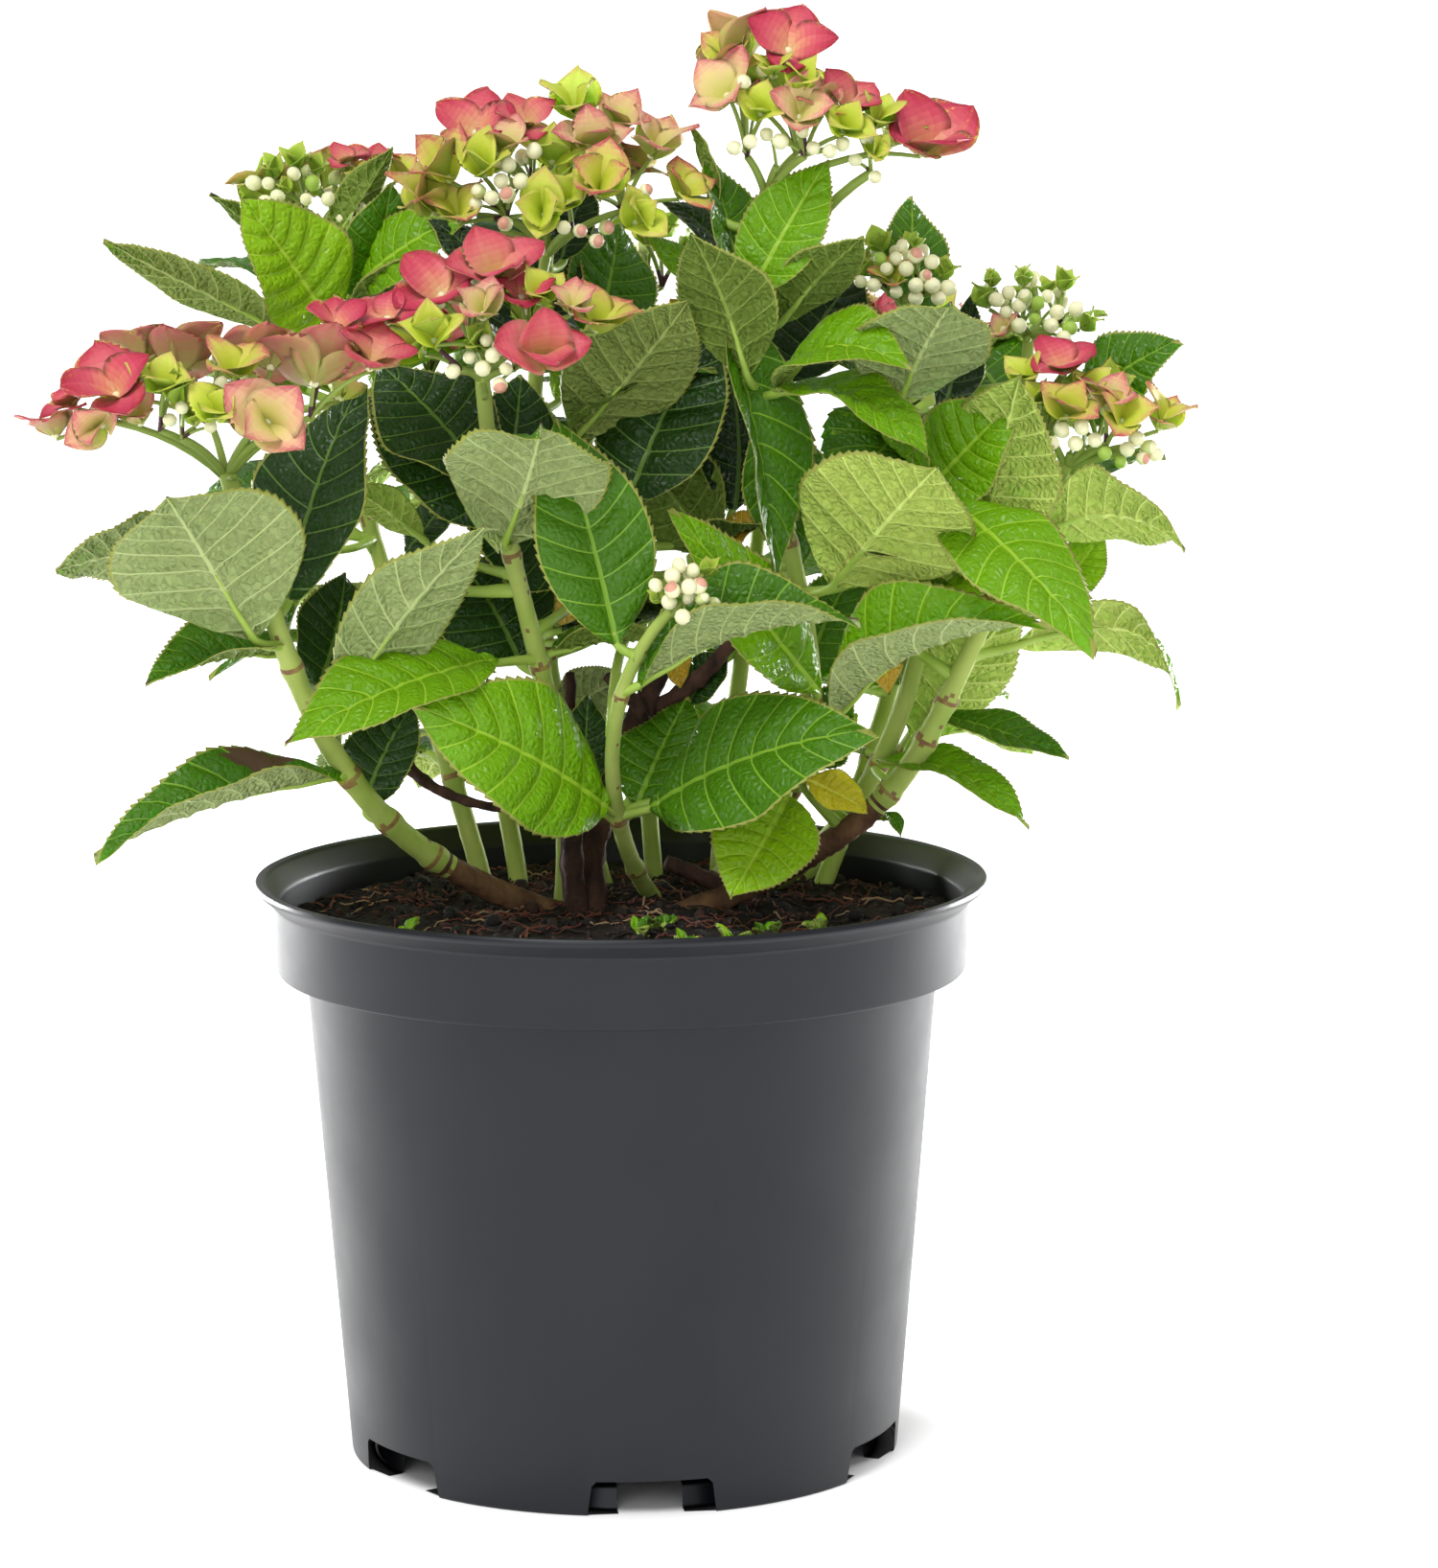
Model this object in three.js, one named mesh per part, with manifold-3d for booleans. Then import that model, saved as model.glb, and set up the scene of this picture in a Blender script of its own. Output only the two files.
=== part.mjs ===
// Potted lacecap hydrangea: nursery pot, compost, shoots, foliage masses and flower heads.
// Millimetres, +Z up. The origin is the centre of the pot's foot, on the ground.
// +X is to the plant's right and -Y is its front.
import * as THREE from 'three';
import { mergeVertices } from 'three/addons/utils/BufferGeometryUtils.js';
import Module from 'manifold-3d';

const wasm = await Module();
wasm.setup();

// ---- Driving dimensions ----
const GAP = 0.4; // clearance left where one piece is cut round another

const POT = {
  height: 183,
  rimRadius: 115, // outside of the rolled lip
  lipFace: 2.6, // upright face of the lip
  lipUnder: 4.4, // sloping step from the lip down to the band
  lipWidth: 3.4,
  bandTopRadius: 109,
  bandFootRadius: 108,
  bandFoot: 153.4, // height of the band's lower edge
  bodyTopRadius: 99,
  footRadius: 86.6,
  wall: 2,
  lipTaper: 0.6, // how far the lip leans in at its top and its foot
  ledge: 0.8, // rise of the band's lower edge, from the body out to the band
  ledgeInside: 3.5, // height of the step inside, over the band's foot
  floorTop: 13, // upper face of the floor
  floorRound: 4, // width and height of the slope where the wall meets the floor
  channelTop: 7, // ceiling of the drainage channel under the floor
  channelSlope: 5,
  padRadius: 30, // flat middle of the floor, which stands on the ground
  footRing: 8, // width of the ring that the wall stands on
  segments: 36,
};

const NOTCH = {
  count: 6,
  firstAngle: 6.5, // degrees round from the front towards +X
  width: 40,
  height: 11,
  recess: 3.6, // depth of the wide pocket in the outer face
  slotWidth: 20,
  slotHeight: 9,
  shoulder: 3, // how much narrower the pocket is at its top
  chamfer: 1.5, // cut-off upper corners
  below: 2, // how far a cutter reaches under the ground
  outside: 6, // how far a cutter reaches outside the foot
  inside: 8, // how far the slot reaches in past the foot ring
};

const COMPOST = {
  edge: 169,
  crown: 173.5,
  foot: 13.6,
  footInset: 6, // how far its foot is drawn in from the wall, over the floor's rounded corner
  footRise: 4,
  edgeTaper: 0.8,
  segments: 18,
};

const SHOOT = { sides: 6, steps: 8, sunk: 5 };

const MASS = {
  swell: 0.16, // height of a swelling, as a share of the radius
  fineFrom: 83, // masses wider than this have the finer mesh
};

// ---- Materials ----
function paint(hex, roughness) {
  return new THREE.MeshStandardMaterial({ color: hex, roughness, metalness: 0 });
}
const POT_BLACK = paint(0x34363b, 0.42);
const COMPOST_BROWN = paint(0x2a1d18, 0.95);
const STEM_GREEN = paint(0x8dab4a, 0.55);
const BARK_BROWN = paint(0x4a3226, 0.85);
const LEAF_GREEN = paint(0x3f7d1c, 0.45);
const BLOOM_ROSE = paint(0xcf6a66, 0.6);
const BLOOM_LIME = paint(0xbccb4a, 0.6);
const BUD_CREAM = paint(0xe6e4c4, 0.6);

// ---- Closed geometry and solids ----
function toSolid(geometry) {
  const bare = new THREE.BufferGeometry();
  bare.setAttribute('position', geometry.getAttribute('position').clone());
  if (geometry.index) bare.setIndex(geometry.index.clone());
  const merged = mergeVertices(bare, 1e-4);
  return new wasm.Manifold(new wasm.Mesh({
    numProp: 3,
    vertProperties: new Float32Array(merged.getAttribute('position').array),
    triVerts: new Uint32Array(merged.index.array),
  }));
}

function toMesh(name, solid, material) {
  const data = solid.getMesh();
  const geometry = new THREE.BufferGeometry();
  geometry.setAttribute('position', new THREE.BufferAttribute(data.vertProperties, data.numProp));
  geometry.setIndex(new THREE.BufferAttribute(data.triVerts, 1));
  geometry.computeVertexNormals();
  const mesh = new THREE.Mesh(geometry, material);
  mesh.name = name;
  return mesh;
}

// A turned solid about the Z axis. The profile is [radius, height] pairs, outside first, going up.
function turned(profile, segments) {
  const points = profile.map(([r, z]) => new THREE.Vector2(r, z));
  const lathe = new THREE.LatheGeometry(points, segments);
  lathe.rotateX(Math.PI / 2);
  return lathe;
}

// The largest of the pieces that a cut leaves.
function largest(solid) {
  const parts = solid.decompose();
  return parts.reduce((best, part) => (part.volume() > best.volume() ? part : best));
}

// ---- Pot ----
function bodyRadius(z) {
  return POT.footRadius + (POT.bodyTopRadius - POT.footRadius) * (z / POT.bandFoot);
}

function potProfile() {
  const lipFoot = POT.height - POT.lipFace;
  const bandTop = lipFoot - POT.lipUnder;
  const ringInside = POT.footRadius - POT.footRing;
  const inner = (z) => bodyRadius(z) - POT.wall;
  return [
    [0, 0],
    [POT.padRadius, 0],
    [POT.padRadius + POT.channelSlope, POT.channelTop],
    [ringInside - 1, POT.channelTop],
    [ringInside, 0],
    [POT.footRadius, 0],
    [POT.bodyTopRadius, POT.bandFoot],
    [POT.bandFootRadius, POT.bandFoot + POT.ledge],
    [POT.bandTopRadius, bandTop],
    [POT.rimRadius - POT.lipTaper, lipFoot],
    [POT.rimRadius, lipFoot + 1],
    [POT.rimRadius - POT.lipTaper, POT.height],
    [POT.rimRadius - POT.lipWidth, POT.height - POT.lipTaper],
    [POT.bandTopRadius - POT.wall, bandTop],
    [POT.bandFootRadius - POT.wall, POT.bandFoot + POT.ledgeInside],
    [inner(POT.bandFoot), POT.bandFoot + 1],
    [inner(POT.floorTop), POT.floorTop + POT.floorRound],
    [inner(POT.floorTop) - POT.floorRound, POT.floorTop],
    [0, POT.floorTop],
  ];
}

// A wedge that stands across the foot ring: wide at the ground, narrower by the shoulder on top.
function notchCutter(width, height, shoulder, depth, angle) {
  const { chamfer, below } = NOTCH;
  const half = width / 2;
  const top = half - shoulder / 2;
  const shape = new THREE.Shape();
  shape.moveTo(-half, -below);
  shape.lineTo(half, -below);
  shape.lineTo(top, height - chamfer);
  shape.lineTo(top - chamfer, height);
  shape.lineTo(chamfer - top, height);
  shape.lineTo(-top, height - chamfer);
  shape.closePath();
  const cutter = new THREE.ExtrudeGeometry(shape, { depth, bevelEnabled: false });
  cutter.rotateX(Math.PI / 2);
  cutter.translate(0, -(POT.footRadius + NOTCH.outside - depth), 0);
  cutter.rotateZ(THREE.MathUtils.degToRad(angle));
  return toSolid(cutter);
}

function makePot() {
  let pot = toSolid(turned(potProfile(), POT.segments));
  for (let i = 0; i < NOTCH.count; i += 1) {
    const angle = NOTCH.firstAngle + (360 / NOTCH.count) * i;
    const pocketDepth = NOTCH.outside + NOTCH.recess;
    const slotDepth = NOTCH.outside + POT.footRing + NOTCH.inside;
    pot = pot.subtract(notchCutter(NOTCH.width, NOTCH.height, NOTCH.shoulder, pocketDepth, angle));
    pot = pot.subtract(notchCutter(NOTCH.slotWidth, NOTCH.slotHeight, 0, slotDepth, angle));
  }
  return pot;
}

// ---- Compost ----
function compostProfile(lift = 0) {
  const wallGap = POT.wall + GAP;
  const edgeRadius = POT.bandFootRadius - wallGap;
  const { foot, footInset, footRise } = COMPOST;
  return [
    [0, foot],
    [bodyRadius(foot) - wallGap - footInset, foot],
    [bodyRadius(foot) - wallGap - 1, foot + footRise],
    [bodyRadius(POT.bandFoot) - wallGap - GAP, POT.bandFoot + 1],
    [edgeRadius - COMPOST.edgeTaper, POT.bandFoot + 5],
    [edgeRadius, COMPOST.edge + lift],
    [edgeRadius * 0.6, (COMPOST.edge + COMPOST.crown) / 2 + 1 + lift],
    [0, COMPOST.crown + lift],
  ];
}

function compostTop(radius) {
  const edgeRadius = POT.bandFootRadius - POT.wall;
  const inside = Math.min(radius / edgeRadius, 1);
  return COMPOST.crown - (COMPOST.crown - COMPOST.edge) * inside;
}

// ---- Shoots ----
// Each shoot is one tapering limb: foot on the compost [x, y], the point it heads for as it leaves,
// the point it comes from as it arrives, and its tip, with its thickness at the foot and the tip.
const SHOOTS = [
  ['stem_left', [-15, 5], [-90, -7, 192], [-95, -53, 242], [-116, -64, 316], 8.4, 5.4, STEM_GREEN],
  ['stem_centre_left', [-19, 20], [-11, 2, 232], [-37, -39, 278], [-40, -50, 344], 7.2, 4.6, STEM_GREEN],
  ['stem_front', [12, 30], [-3, -30, 194], [-12, -44, 244], [17, -62, 274], 6, 3.6, STEM_GREEN],
  ['stem_tall', [24, 60], [103, -13, 240], [23, -10, 298], [46, -4, 396], 7.4, 4.4, STEM_GREEN],
  ['stem_right_inner', [36, 50], [95, 8, 194], [111, -5, 295], [89, 14, 362], 7.2, 4, STEM_GREEN],
  ['stem_right_outer', [15, 2], [109, 19, 202], [86, -10, 223], [138, -12, 312], 8.6, 5, STEM_GREEN],
  ['stem_back_right', [55, 72], [118, 62, 235], [126, 40, 290], [129, 33, 350], 6.6, 3.8, STEM_GREEN],
  ['stem_upper_left', [-44, 46], [-62, 60, 240], [-96, 60, 300], [-95, 57, 384], 6.6, 4, STEM_GREEN],
  ['stem_upper_centre', [-6, 52], [-30, 44, 250], [-32, 24, 300], [-22, 13, 378], 7, 4.4, STEM_GREEN],
  ['stem_centre_back', [10, 64], [2, 84, 240], [12, 86, 300], [8, 80, 360], 6, 3.6, STEM_GREEN],
  ['stem_rear_left', [-34, 60], [-44, 84, 240], [-74, 108, 276], [-72, 104, 328], 6.4, 4, STEM_GREEN],
  ['stem_rear_centre', [30, 70], [36, 92, 245], [48, 122, 270], [46, 122, 330], 6.4, 4, STEM_GREEN],
  ['stem_rear_right', [62, 52], [90, 96, 225], [102, 104, 272], [98, 97, 326], 6.4, 4, STEM_GREEN],
  ['old_wood', [-8, -2], [-15, 4, 200], [6, 14, 232], [22, 22, 262], 8.6, 5.6, BARK_BROWN],
];

// A closed tube along a curve, tapering from its start to its end.
function limb(curve, startRadius, endRadius) {
  const { sides, steps } = SHOOT;
  const frames = curve.computeFrenetFrames(steps, false);
  const positions = [];
  const index = [];
  for (let i = 0; i <= steps; i += 1) {
    const centre = curve.getPointAt(i / steps);
    const radius = THREE.MathUtils.lerp(startRadius, endRadius, i / steps);
    for (let k = 0; k < sides; k += 1) {
      const turn = (k / sides) * 2 * Math.PI;
      const point = centre.clone()
        .addScaledVector(frames.normals[i], Math.cos(turn) * radius)
        .addScaledVector(frames.binormals[i], Math.sin(turn) * radius);
      positions.push(point.x, point.y, point.z);
    }
  }
  for (let i = 0; i < steps; i += 1) {
    for (let k = 0; k < sides; k += 1) {
      const a = i * sides + k;
      const b = i * sides + ((k + 1) % sides);
      index.push(a, b, b + sides, a, b + sides, a + sides);
    }
  }
  const lastRing = steps * sides;
  for (let k = 1; k < sides - 1; k += 1) {
    index.push(0, k + 1, k);
    index.push(lastRing, lastRing + k, lastRing + k + 1);
  }
  const geometry = new THREE.BufferGeometry();
  geometry.setAttribute('position', new THREE.Float32BufferAttribute(positions, 3));
  geometry.setIndex(index);
  return geometry;
}

function shootSolid([, foot, leaves, arrives, tip, footWidth, tipWidth], grow = 0) {
  const footHeight = compostTop(Math.hypot(foot[0], foot[1])) - SHOOT.sunk;
  const curve = new THREE.CubicBezierCurve3(
    new THREE.Vector3(foot[0], foot[1], footHeight),
    new THREE.Vector3(...leaves),
    new THREE.Vector3(...arrives),
    new THREE.Vector3(...tip),
  );
  return toSolid(limb(curve, footWidth / 2 + grow, tipWidth / 2 + grow));
}

// ---- Foliage masses and flower heads ----
// Each is one uneven closed solid: its centre, its width, depth and height, the roll that lowers
// its +X end (degrees about +Y) and the seed of its unevenness.
const HEADS = [
  ['flowers_left', [-120, -69, 343], [122, 88, 46], 4, 1, BLOOM_ROSE],
  ['flowers_centre_left', [-37, -51, 364], [80, 68, 44], -4, 2, BLOOM_ROSE],
  ['flowers_upper_centre', [-21, 11, 403], [100, 84, 60], 4, 3, BLOOM_LIME],
  ['flowers_top_right', [66, -5, 424], [98, 80, 60], 16, 4, BLOOM_LIME],
  ['flowers_upper_left', [-95, 57, 396], [60, 54, 34], 0, 5, BLOOM_LIME],
  ['flowers_right_buds', [89, 14, 373], [40, 38, 28], 0, 6, BUD_CREAM],
  ['flowers_far_right', [131, 32, 361], [42, 40, 32], 0, 7, BUD_CREAM],
  ['flowers_right', [148, -9, 330], [60, 54, 42], 8, 8, BLOOM_LIME],
  ['flowers_front_buds', [20, -66, 281], [28, 26, 24], 0, 9, BUD_CREAM],
  ['flowers_centre_back', [8, 80, 370], [40, 38, 28], 0, 10, BUD_CREAM],
  ['flowers_rear_left', [-72, 105, 340], [74, 66, 38], 0, 11, BLOOM_ROSE],
  ['flowers_rear_centre', [46, 124, 342], [64, 58, 36], 0, 12, BLOOM_LIME],
  ['flowers_rear_right', [98, 98, 338], [62, 58, 36], 0, 13, BLOOM_ROSE],
];

const MASSES = [
  ['leaves_upper_left_tip', [-131, 15, 366], [72, 38, 22], 26, 21],
  ['leaves_upper_left', [-86, 20, 374], [62, 44, 46], 20, 22],
  ['leaves_left_shoulder', [-122, -52, 288], [70, 52, 48], 16, 23],
  ['leaves_left_side', [-142, 2, 268], [60, 52, 34], -14, 24],
  ['leaves_left_skirt', [-124, -40, 216], [84, 50, 30], -22, 25],
  ['leaves_left_inner', [-84, -14, 312], [40, 52, 64], 6, 26],
  ['leaves_centre_left', [-58, -8, 310], [44, 56, 74], 8, 27],
  ['leaves_front_left', [-68, -56, 262], [66, 42, 56], -22, 28],
  ['leaves_front_low_left', [-32, -66, 232], [64, 38, 36], 30, 29],
  ['leaves_front_low_right', [40, -66, 230], [74, 42, 34], -14, 30],
  ['leaves_front_drip', [46, -40, 202], [34, 34, 32], 0, 31],
  ['leaves_centre', [-8, -58, 296], [40, 40, 66], 12, 32],
  ['leaves_centre_right', [44, -40, 272], [66, 46, 44], 12, 33],
  ['leaves_core', [2, -4, 326], [64, 52, 74], -10, 34],
  ['leaves_inner', [6, 32, 252], [80, 54, 56], 0, 35],
  ['leaves_top_right', [45, -8, 372], [50, 50, 66], 0, 36],
  ['leaves_right_upper', [74, -22, 336], [62, 50, 48], 14, 37],
  ['leaves_right_mid', [88, -26, 292], [56, 46, 52], 0, 38],
  ['leaves_right_tip', [128, -32, 284], [58, 46, 48], 40, 39],
  ['leaves_far_right', [158, 8, 296], [46, 50, 30], 16, 40],
  ['leaves_far_right_top', [160, 32, 342], [34, 46, 28], 0, 41],
  ['leaves_right_low', [150, 6, 254], [56, 48, 34], 20, 42],
  ['leaves_right_inner', [102, -8, 250], [62, 56, 40], 16, 43],
  ['leaves_right_skirt', [104, -14, 214], [58, 46, 26], 20, 44],
  ['leaves_back_far_left', [-122, 56, 300], [74, 70, 76], 0, 45],
  ['leaves_back_left_low', [-76, 74, 244], [84, 64, 56], -8, 46],
  ['leaves_back_left', [-62, 88, 308], [82, 78, 64], 0, 47],
  ['leaves_back_centre_low', [-2, 118, 238], [78, 62, 54], 0, 48],
  ['leaves_back_centre', [0, 88, 314], [76, 84, 76], 0, 49],
  ['leaves_back_right_low', [88, 84, 240], [86, 66, 56], 8, 50],
  ['leaves_back_right', [94, 78, 304], [90, 84, 74], 0, 51],
];

// Unevenness of a mass in one direction: a few broad swells and hollows, from -1 to 1.
function swell(direction, seed) {
  const { x, y, z } = direction;
  const wide = Math.sin(2.3 * x + 1.7 * seed) * Math.cos(2.1 * y - 0.9 * seed);
  const fine = Math.sin(4.3 * z + 2.9 * seed) * Math.cos(3.7 * x + 1.3 * seed + 2 * y);
  return 0.6 * wide + 0.4 * fine;
}

function massSolid([, centre, size, roll, seed], grow = 0) {
  const detail = Math.max(...size) > MASS.fineFrom ? 2 : 1;
  const ball = new THREE.IcosahedronGeometry(1, detail);
  const positions = ball.getAttribute('position');
  const direction = new THREE.Vector3();
  for (let i = 0; i < positions.count; i += 1) {
    direction.fromBufferAttribute(positions, i).normalize();
    const reach = 1 + MASS.swell * swell(direction, seed);
    const point = new THREE.Vector3(size[0], size[1], size[2])
      .multiplyScalar(reach / 2)
      .multiply(direction);
    point.addScaledVector(direction, grow);
    positions.setXYZ(i, point.x, point.y, point.z);
  }
  ball.rotateY(THREE.MathUtils.degToRad(roll));
  ball.translate(...centre);
  return toSolid(ball);
}

// ---- Assembly ----
const plant = new THREE.Group();

function add(name, solid, material) {
  plant.add(toMesh(name, solid, material));
}

function overlap(a, b) {
  const p = a.boundingBox();
  const q = b.boundingBox();
  return [0, 1, 2].every((k) => p.min[k] < q.max[k] && q.min[k] < p.max[k]);
}

function cutRound(solid, neighbours) {
  return neighbours
    .filter((neighbour) => overlap(solid, neighbour))
    .reduce((left, neighbour) => left.subtract(neighbour), solid);
}

add('pot', makePot(), POT_BLACK);
add('compost', toSolid(turned(compostProfile(), COMPOST.segments)), COMPOST_BROWN);

const taken = [toSolid(turned(compostProfile(GAP), COMPOST.segments))];
const headSolids = [];
HEADS.forEach((head) => {
  headSolids.push(largest(cutRound(massSolid(head), headSolids)));
  add(head[0], headSolids.at(-1), head[5]);
  taken.push(massSolid(head, GAP));
});

const grownShoots = [];
SHOOTS.forEach((shoot) => {
  const solid = largest(cutRound(shootSolid(shoot), [...taken, ...grownShoots]));
  add(shoot[0], solid, shoot[7]);
  grownShoots.push(shootSolid(shoot, GAP));
});
taken.push(...grownShoots);

MASSES.forEach((mass) => {
  add(mass[0], largest(cutRound(massSolid(mass), taken)), LEAF_GREEN);
  taken.push(massSolid(mass, GAP));
});

export default plant;
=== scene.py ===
"""Looks for the potted lacecap hydrangea: pot, compost, shoots, leaves and flower heads.

Sizes and places are in millimetres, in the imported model's frame, and become metres as each piece is made.
"""

import math

import bpy
import numpy as np
from mathutils import Matrix, Vector, noise


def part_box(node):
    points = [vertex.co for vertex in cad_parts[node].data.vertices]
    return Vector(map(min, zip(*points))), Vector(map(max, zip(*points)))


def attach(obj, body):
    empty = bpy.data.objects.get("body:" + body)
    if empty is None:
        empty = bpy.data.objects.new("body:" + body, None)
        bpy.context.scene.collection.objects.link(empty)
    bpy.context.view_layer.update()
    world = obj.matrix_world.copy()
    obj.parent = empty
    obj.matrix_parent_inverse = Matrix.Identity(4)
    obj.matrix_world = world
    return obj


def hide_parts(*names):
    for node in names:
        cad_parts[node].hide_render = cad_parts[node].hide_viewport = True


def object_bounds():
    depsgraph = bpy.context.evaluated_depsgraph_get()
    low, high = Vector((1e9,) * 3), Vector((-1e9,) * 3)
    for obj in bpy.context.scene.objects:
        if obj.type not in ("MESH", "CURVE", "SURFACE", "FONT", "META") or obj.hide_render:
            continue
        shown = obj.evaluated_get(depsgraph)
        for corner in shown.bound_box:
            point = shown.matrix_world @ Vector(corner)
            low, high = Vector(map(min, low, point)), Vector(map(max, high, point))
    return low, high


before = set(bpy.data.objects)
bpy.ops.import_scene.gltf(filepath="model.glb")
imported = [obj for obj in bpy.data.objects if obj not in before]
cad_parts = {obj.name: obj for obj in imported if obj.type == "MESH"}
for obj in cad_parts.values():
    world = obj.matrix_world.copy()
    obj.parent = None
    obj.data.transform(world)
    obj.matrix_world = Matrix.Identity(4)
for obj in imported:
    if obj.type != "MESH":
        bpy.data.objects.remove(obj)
cad_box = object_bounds()
scene = bpy.context.scene

MM = 0.001
UP = np.array([0.0, 0.0, 1.0])

# ---- Camera: where the plant is looked at from ----
CAMERA_AT = np.array([30.7, -1693.3, 472.0])
CAMERA_PITCH = 8.75  # degrees below level
CAMERA_ROLL = -0.21
CAMERA_LENS = 125.65
TOWARD = np.array([0.0, -math.cos(math.radians(CAMERA_PITCH)), math.sin(math.radians(CAMERA_PITCH))])

# ---- Driving dimensions ----
POT = dict(
    height=183, rim=115, lip_face=2.6, lip_under=4.4, lip_width=3.4, band_top=109, band_foot_radius=108,
    band_foot=153.4, body_top=99, foot=86.6, wall=2, floor_top=13, channel=7, pad=30, ring=8, sides=192,
)
NOTCH = dict(
    count=6, first=6.5, width=40, height=11, recess=3.6, slot_width=20, slot_height=9, shoulder=3,
)
COMPOST = dict(edge=169, crown=173.5, foot=13.8, edge_radius=105.9)
SHOOT_SUNK = 5
LEAF_THICKNESS = 0.4
SEPAL_THICKNESS = 0.26
BUD_SIZE = 4.9


def unit(vector):
    vector = np.asarray(vector, float)
    return vector / max(np.linalg.norm(vector), 1e-9)


def across(vector):
    """A unit vector square to the given one."""
    helper = UP if abs(vector[2]) < 0.9 else np.array([1.0, 0.0, 0.0])
    return unit(np.cross(vector, helper))


def heading(azimuth, elevation):
    """Azimuth 0 points to the front, 90 to the plant's right (+X); elevation 90 points up."""
    a, e = math.radians(azimuth), math.radians(elevation)
    return np.array([math.sin(a) * math.cos(e), -math.cos(a) * math.cos(e), math.sin(e)])


def bezier(points, steps):
    t = np.linspace(0, 1, steps + 1)[:, None]
    p = [np.asarray(point, float) for point in points]
    if len(p) == 3:
        return (1 - t) ** 2 * p[0] + 2 * t * (1 - t) * p[1] + t ** 2 * p[2]
    return (1 - t) ** 3 * p[0] + 3 * t * (1 - t) ** 2 * p[1] + 3 * t ** 2 * (1 - t) * p[2] + t ** 3 * p[3]


# ---- Materials ----
PAINTS = []
NUMBERS = {}


def linear(rgb):
    values = [c / 255 for c in rgb]
    return [v / 12.92 if v <= 0.04045 else ((v + 0.055) / 1.055) ** 2.4 for v in values] + [1.0]


def put(node, **values):
    """Sets inputs of a node; an underscore stands for a space in the input's name."""
    for name, value in values.items():
        node.inputs[name.replace("_", " ")].default_value = value


def texture(tree, kind, scale, stretch=None):
    """A texture laid out in the piece's own space, stretched by the given scales."""
    node = tree.nodes.new(kind)
    put(node, Scale=scale)
    place = tree.nodes.new("ShaderNodeTexCoord").outputs["Object"]
    if stretch:
        mapping = tree.nodes.new("ShaderNodeMapping")
        put(mapping, Scale=stretch)
        tree.links.new(place, mapping.inputs["Vector"])
        place = mapping.outputs["Vector"]
    tree.links.new(place, node.inputs["Vector"])
    return node


def relief(tree, shader, bumps):
    """Stacked procedural bumps: (kind, cells per metre, strength, depth in mm)."""
    normal = None
    for kind, scale, strength, depth in bumps:
        if kind == "net":
            source = texture(tree, "ShaderNodeTexVoronoi", scale)
            source.feature = "DISTANCE_TO_EDGE"
            height = source.outputs["Distance"]
        else:
            source = texture(tree, "ShaderNodeTexNoise", scale)
            put(source, Detail=3.0)
            height = source.outputs["Fac"]
        bump = tree.nodes.new("ShaderNodeBump")
        put(bump, Strength=strength, Distance=depth * MM)
        tree.links.new(height, bump.inputs["Height"])
        if normal:
            tree.links.new(normal, bump.inputs["Normal"])
        normal = bump.outputs["Normal"]
    if normal:
        tree.links.new(normal, shader.inputs["Normal"])


def mottle(tree, socket, scale, low, high, stretch=None):
    """A noise between two values or two colours, linked to the socket."""
    source = texture(tree, "ShaderNodeTexNoise", scale, stretch)
    put(source, Detail=5.0)
    ramp = tree.nodes.new("ShaderNodeValToRGB")
    for element, position, value in zip(ramp.color_ramp.elements, (0.32, 0.68), (low, high)):
        element.position = position
        element.color = linear(value) if isinstance(value, tuple) else (value, value, value, 1.0)
    tree.links.new(source.outputs["Fac"], ramp.inputs["Fac"])
    tree.links.new(ramp.outputs["Color"], socket)


def paint(name, rgb, roughness=0.5, bumps=(), thin=0.0, specular=0.5, mix=None, mix_scale=60, stretch=None,
          rough_mix=None):
    """A material with its own number. thin lets light through; mix mottles the colour towards another."""
    material = bpy.data.materials.new(name)
    material.use_nodes = True
    tree = material.node_tree
    shader = tree.nodes["Principled BSDF"]
    put(shader, Base_Color=linear(rgb), Roughness=roughness, Specular_IOR_Level=specular)
    if thin:
        put(shader, Subsurface_Weight=thin, Subsurface_Radius=THROUGH_LEAF, Subsurface_Scale=0.9 * MM)
    if mix:
        mottle(tree, shader.inputs["Base Color"], mix_scale, rgb, mix, stretch)
    if rough_mix:
        mottle(tree, shader.inputs["Roughness"], *rough_mix, stretch)
    relief(tree, shader, bumps)
    material.diffuse_color = linear(rgb)
    NUMBERS[name] = len(PAINTS)
    PAINTS.append(material)
    return shader


def grain(scale, strength, depth):
    """Fine noise alone as the relief of a surface."""
    return (("noise", scale, strength, depth),)


# How far red, green and blue light travel inside a leaf, against each other.
THROUGH_LEAF = (0.45, 1.0, 0.12)
TOP_BUMPS = (("net", 430, 0.7, 1.4), ("noise", 520, 0.28, 0.7))
UNDER_BUMPS = (("net", 430, 1.0, 2.4), ("noise", 520, 0.35, 0.8))
# Upper side of a leaf: the colour between the veins and the lighter one beside them.
TOPS = {
    "bright": ((100, 148, 4), (122, 168, 18)),
    "young": ((130, 172, 12), (148, 188, 34)),
    "mid": ((62, 108, 2), (84, 130, 14)),
    "dark": ((28, 58, 8), (44, 78, 18)),
    "deep": ((20, 44, 12), (32, 60, 18)),
    "yellow": ((190, 178, 30), (206, 194, 60)),
    "ochre": ((176, 142, 34), (190, 160, 60)),
}
UNDERS = {
    "grey": ((148, 163, 103), (168, 182, 120)),
    "olive": ((132, 149, 74), (152, 168, 92)),
    "moss": ((106, 128, 48), (126, 146, 64)),
    "light": ((172, 192, 90), (192, 210, 114)),
    "shade": ((78, 98, 40), (96, 118, 52)),
}
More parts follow.
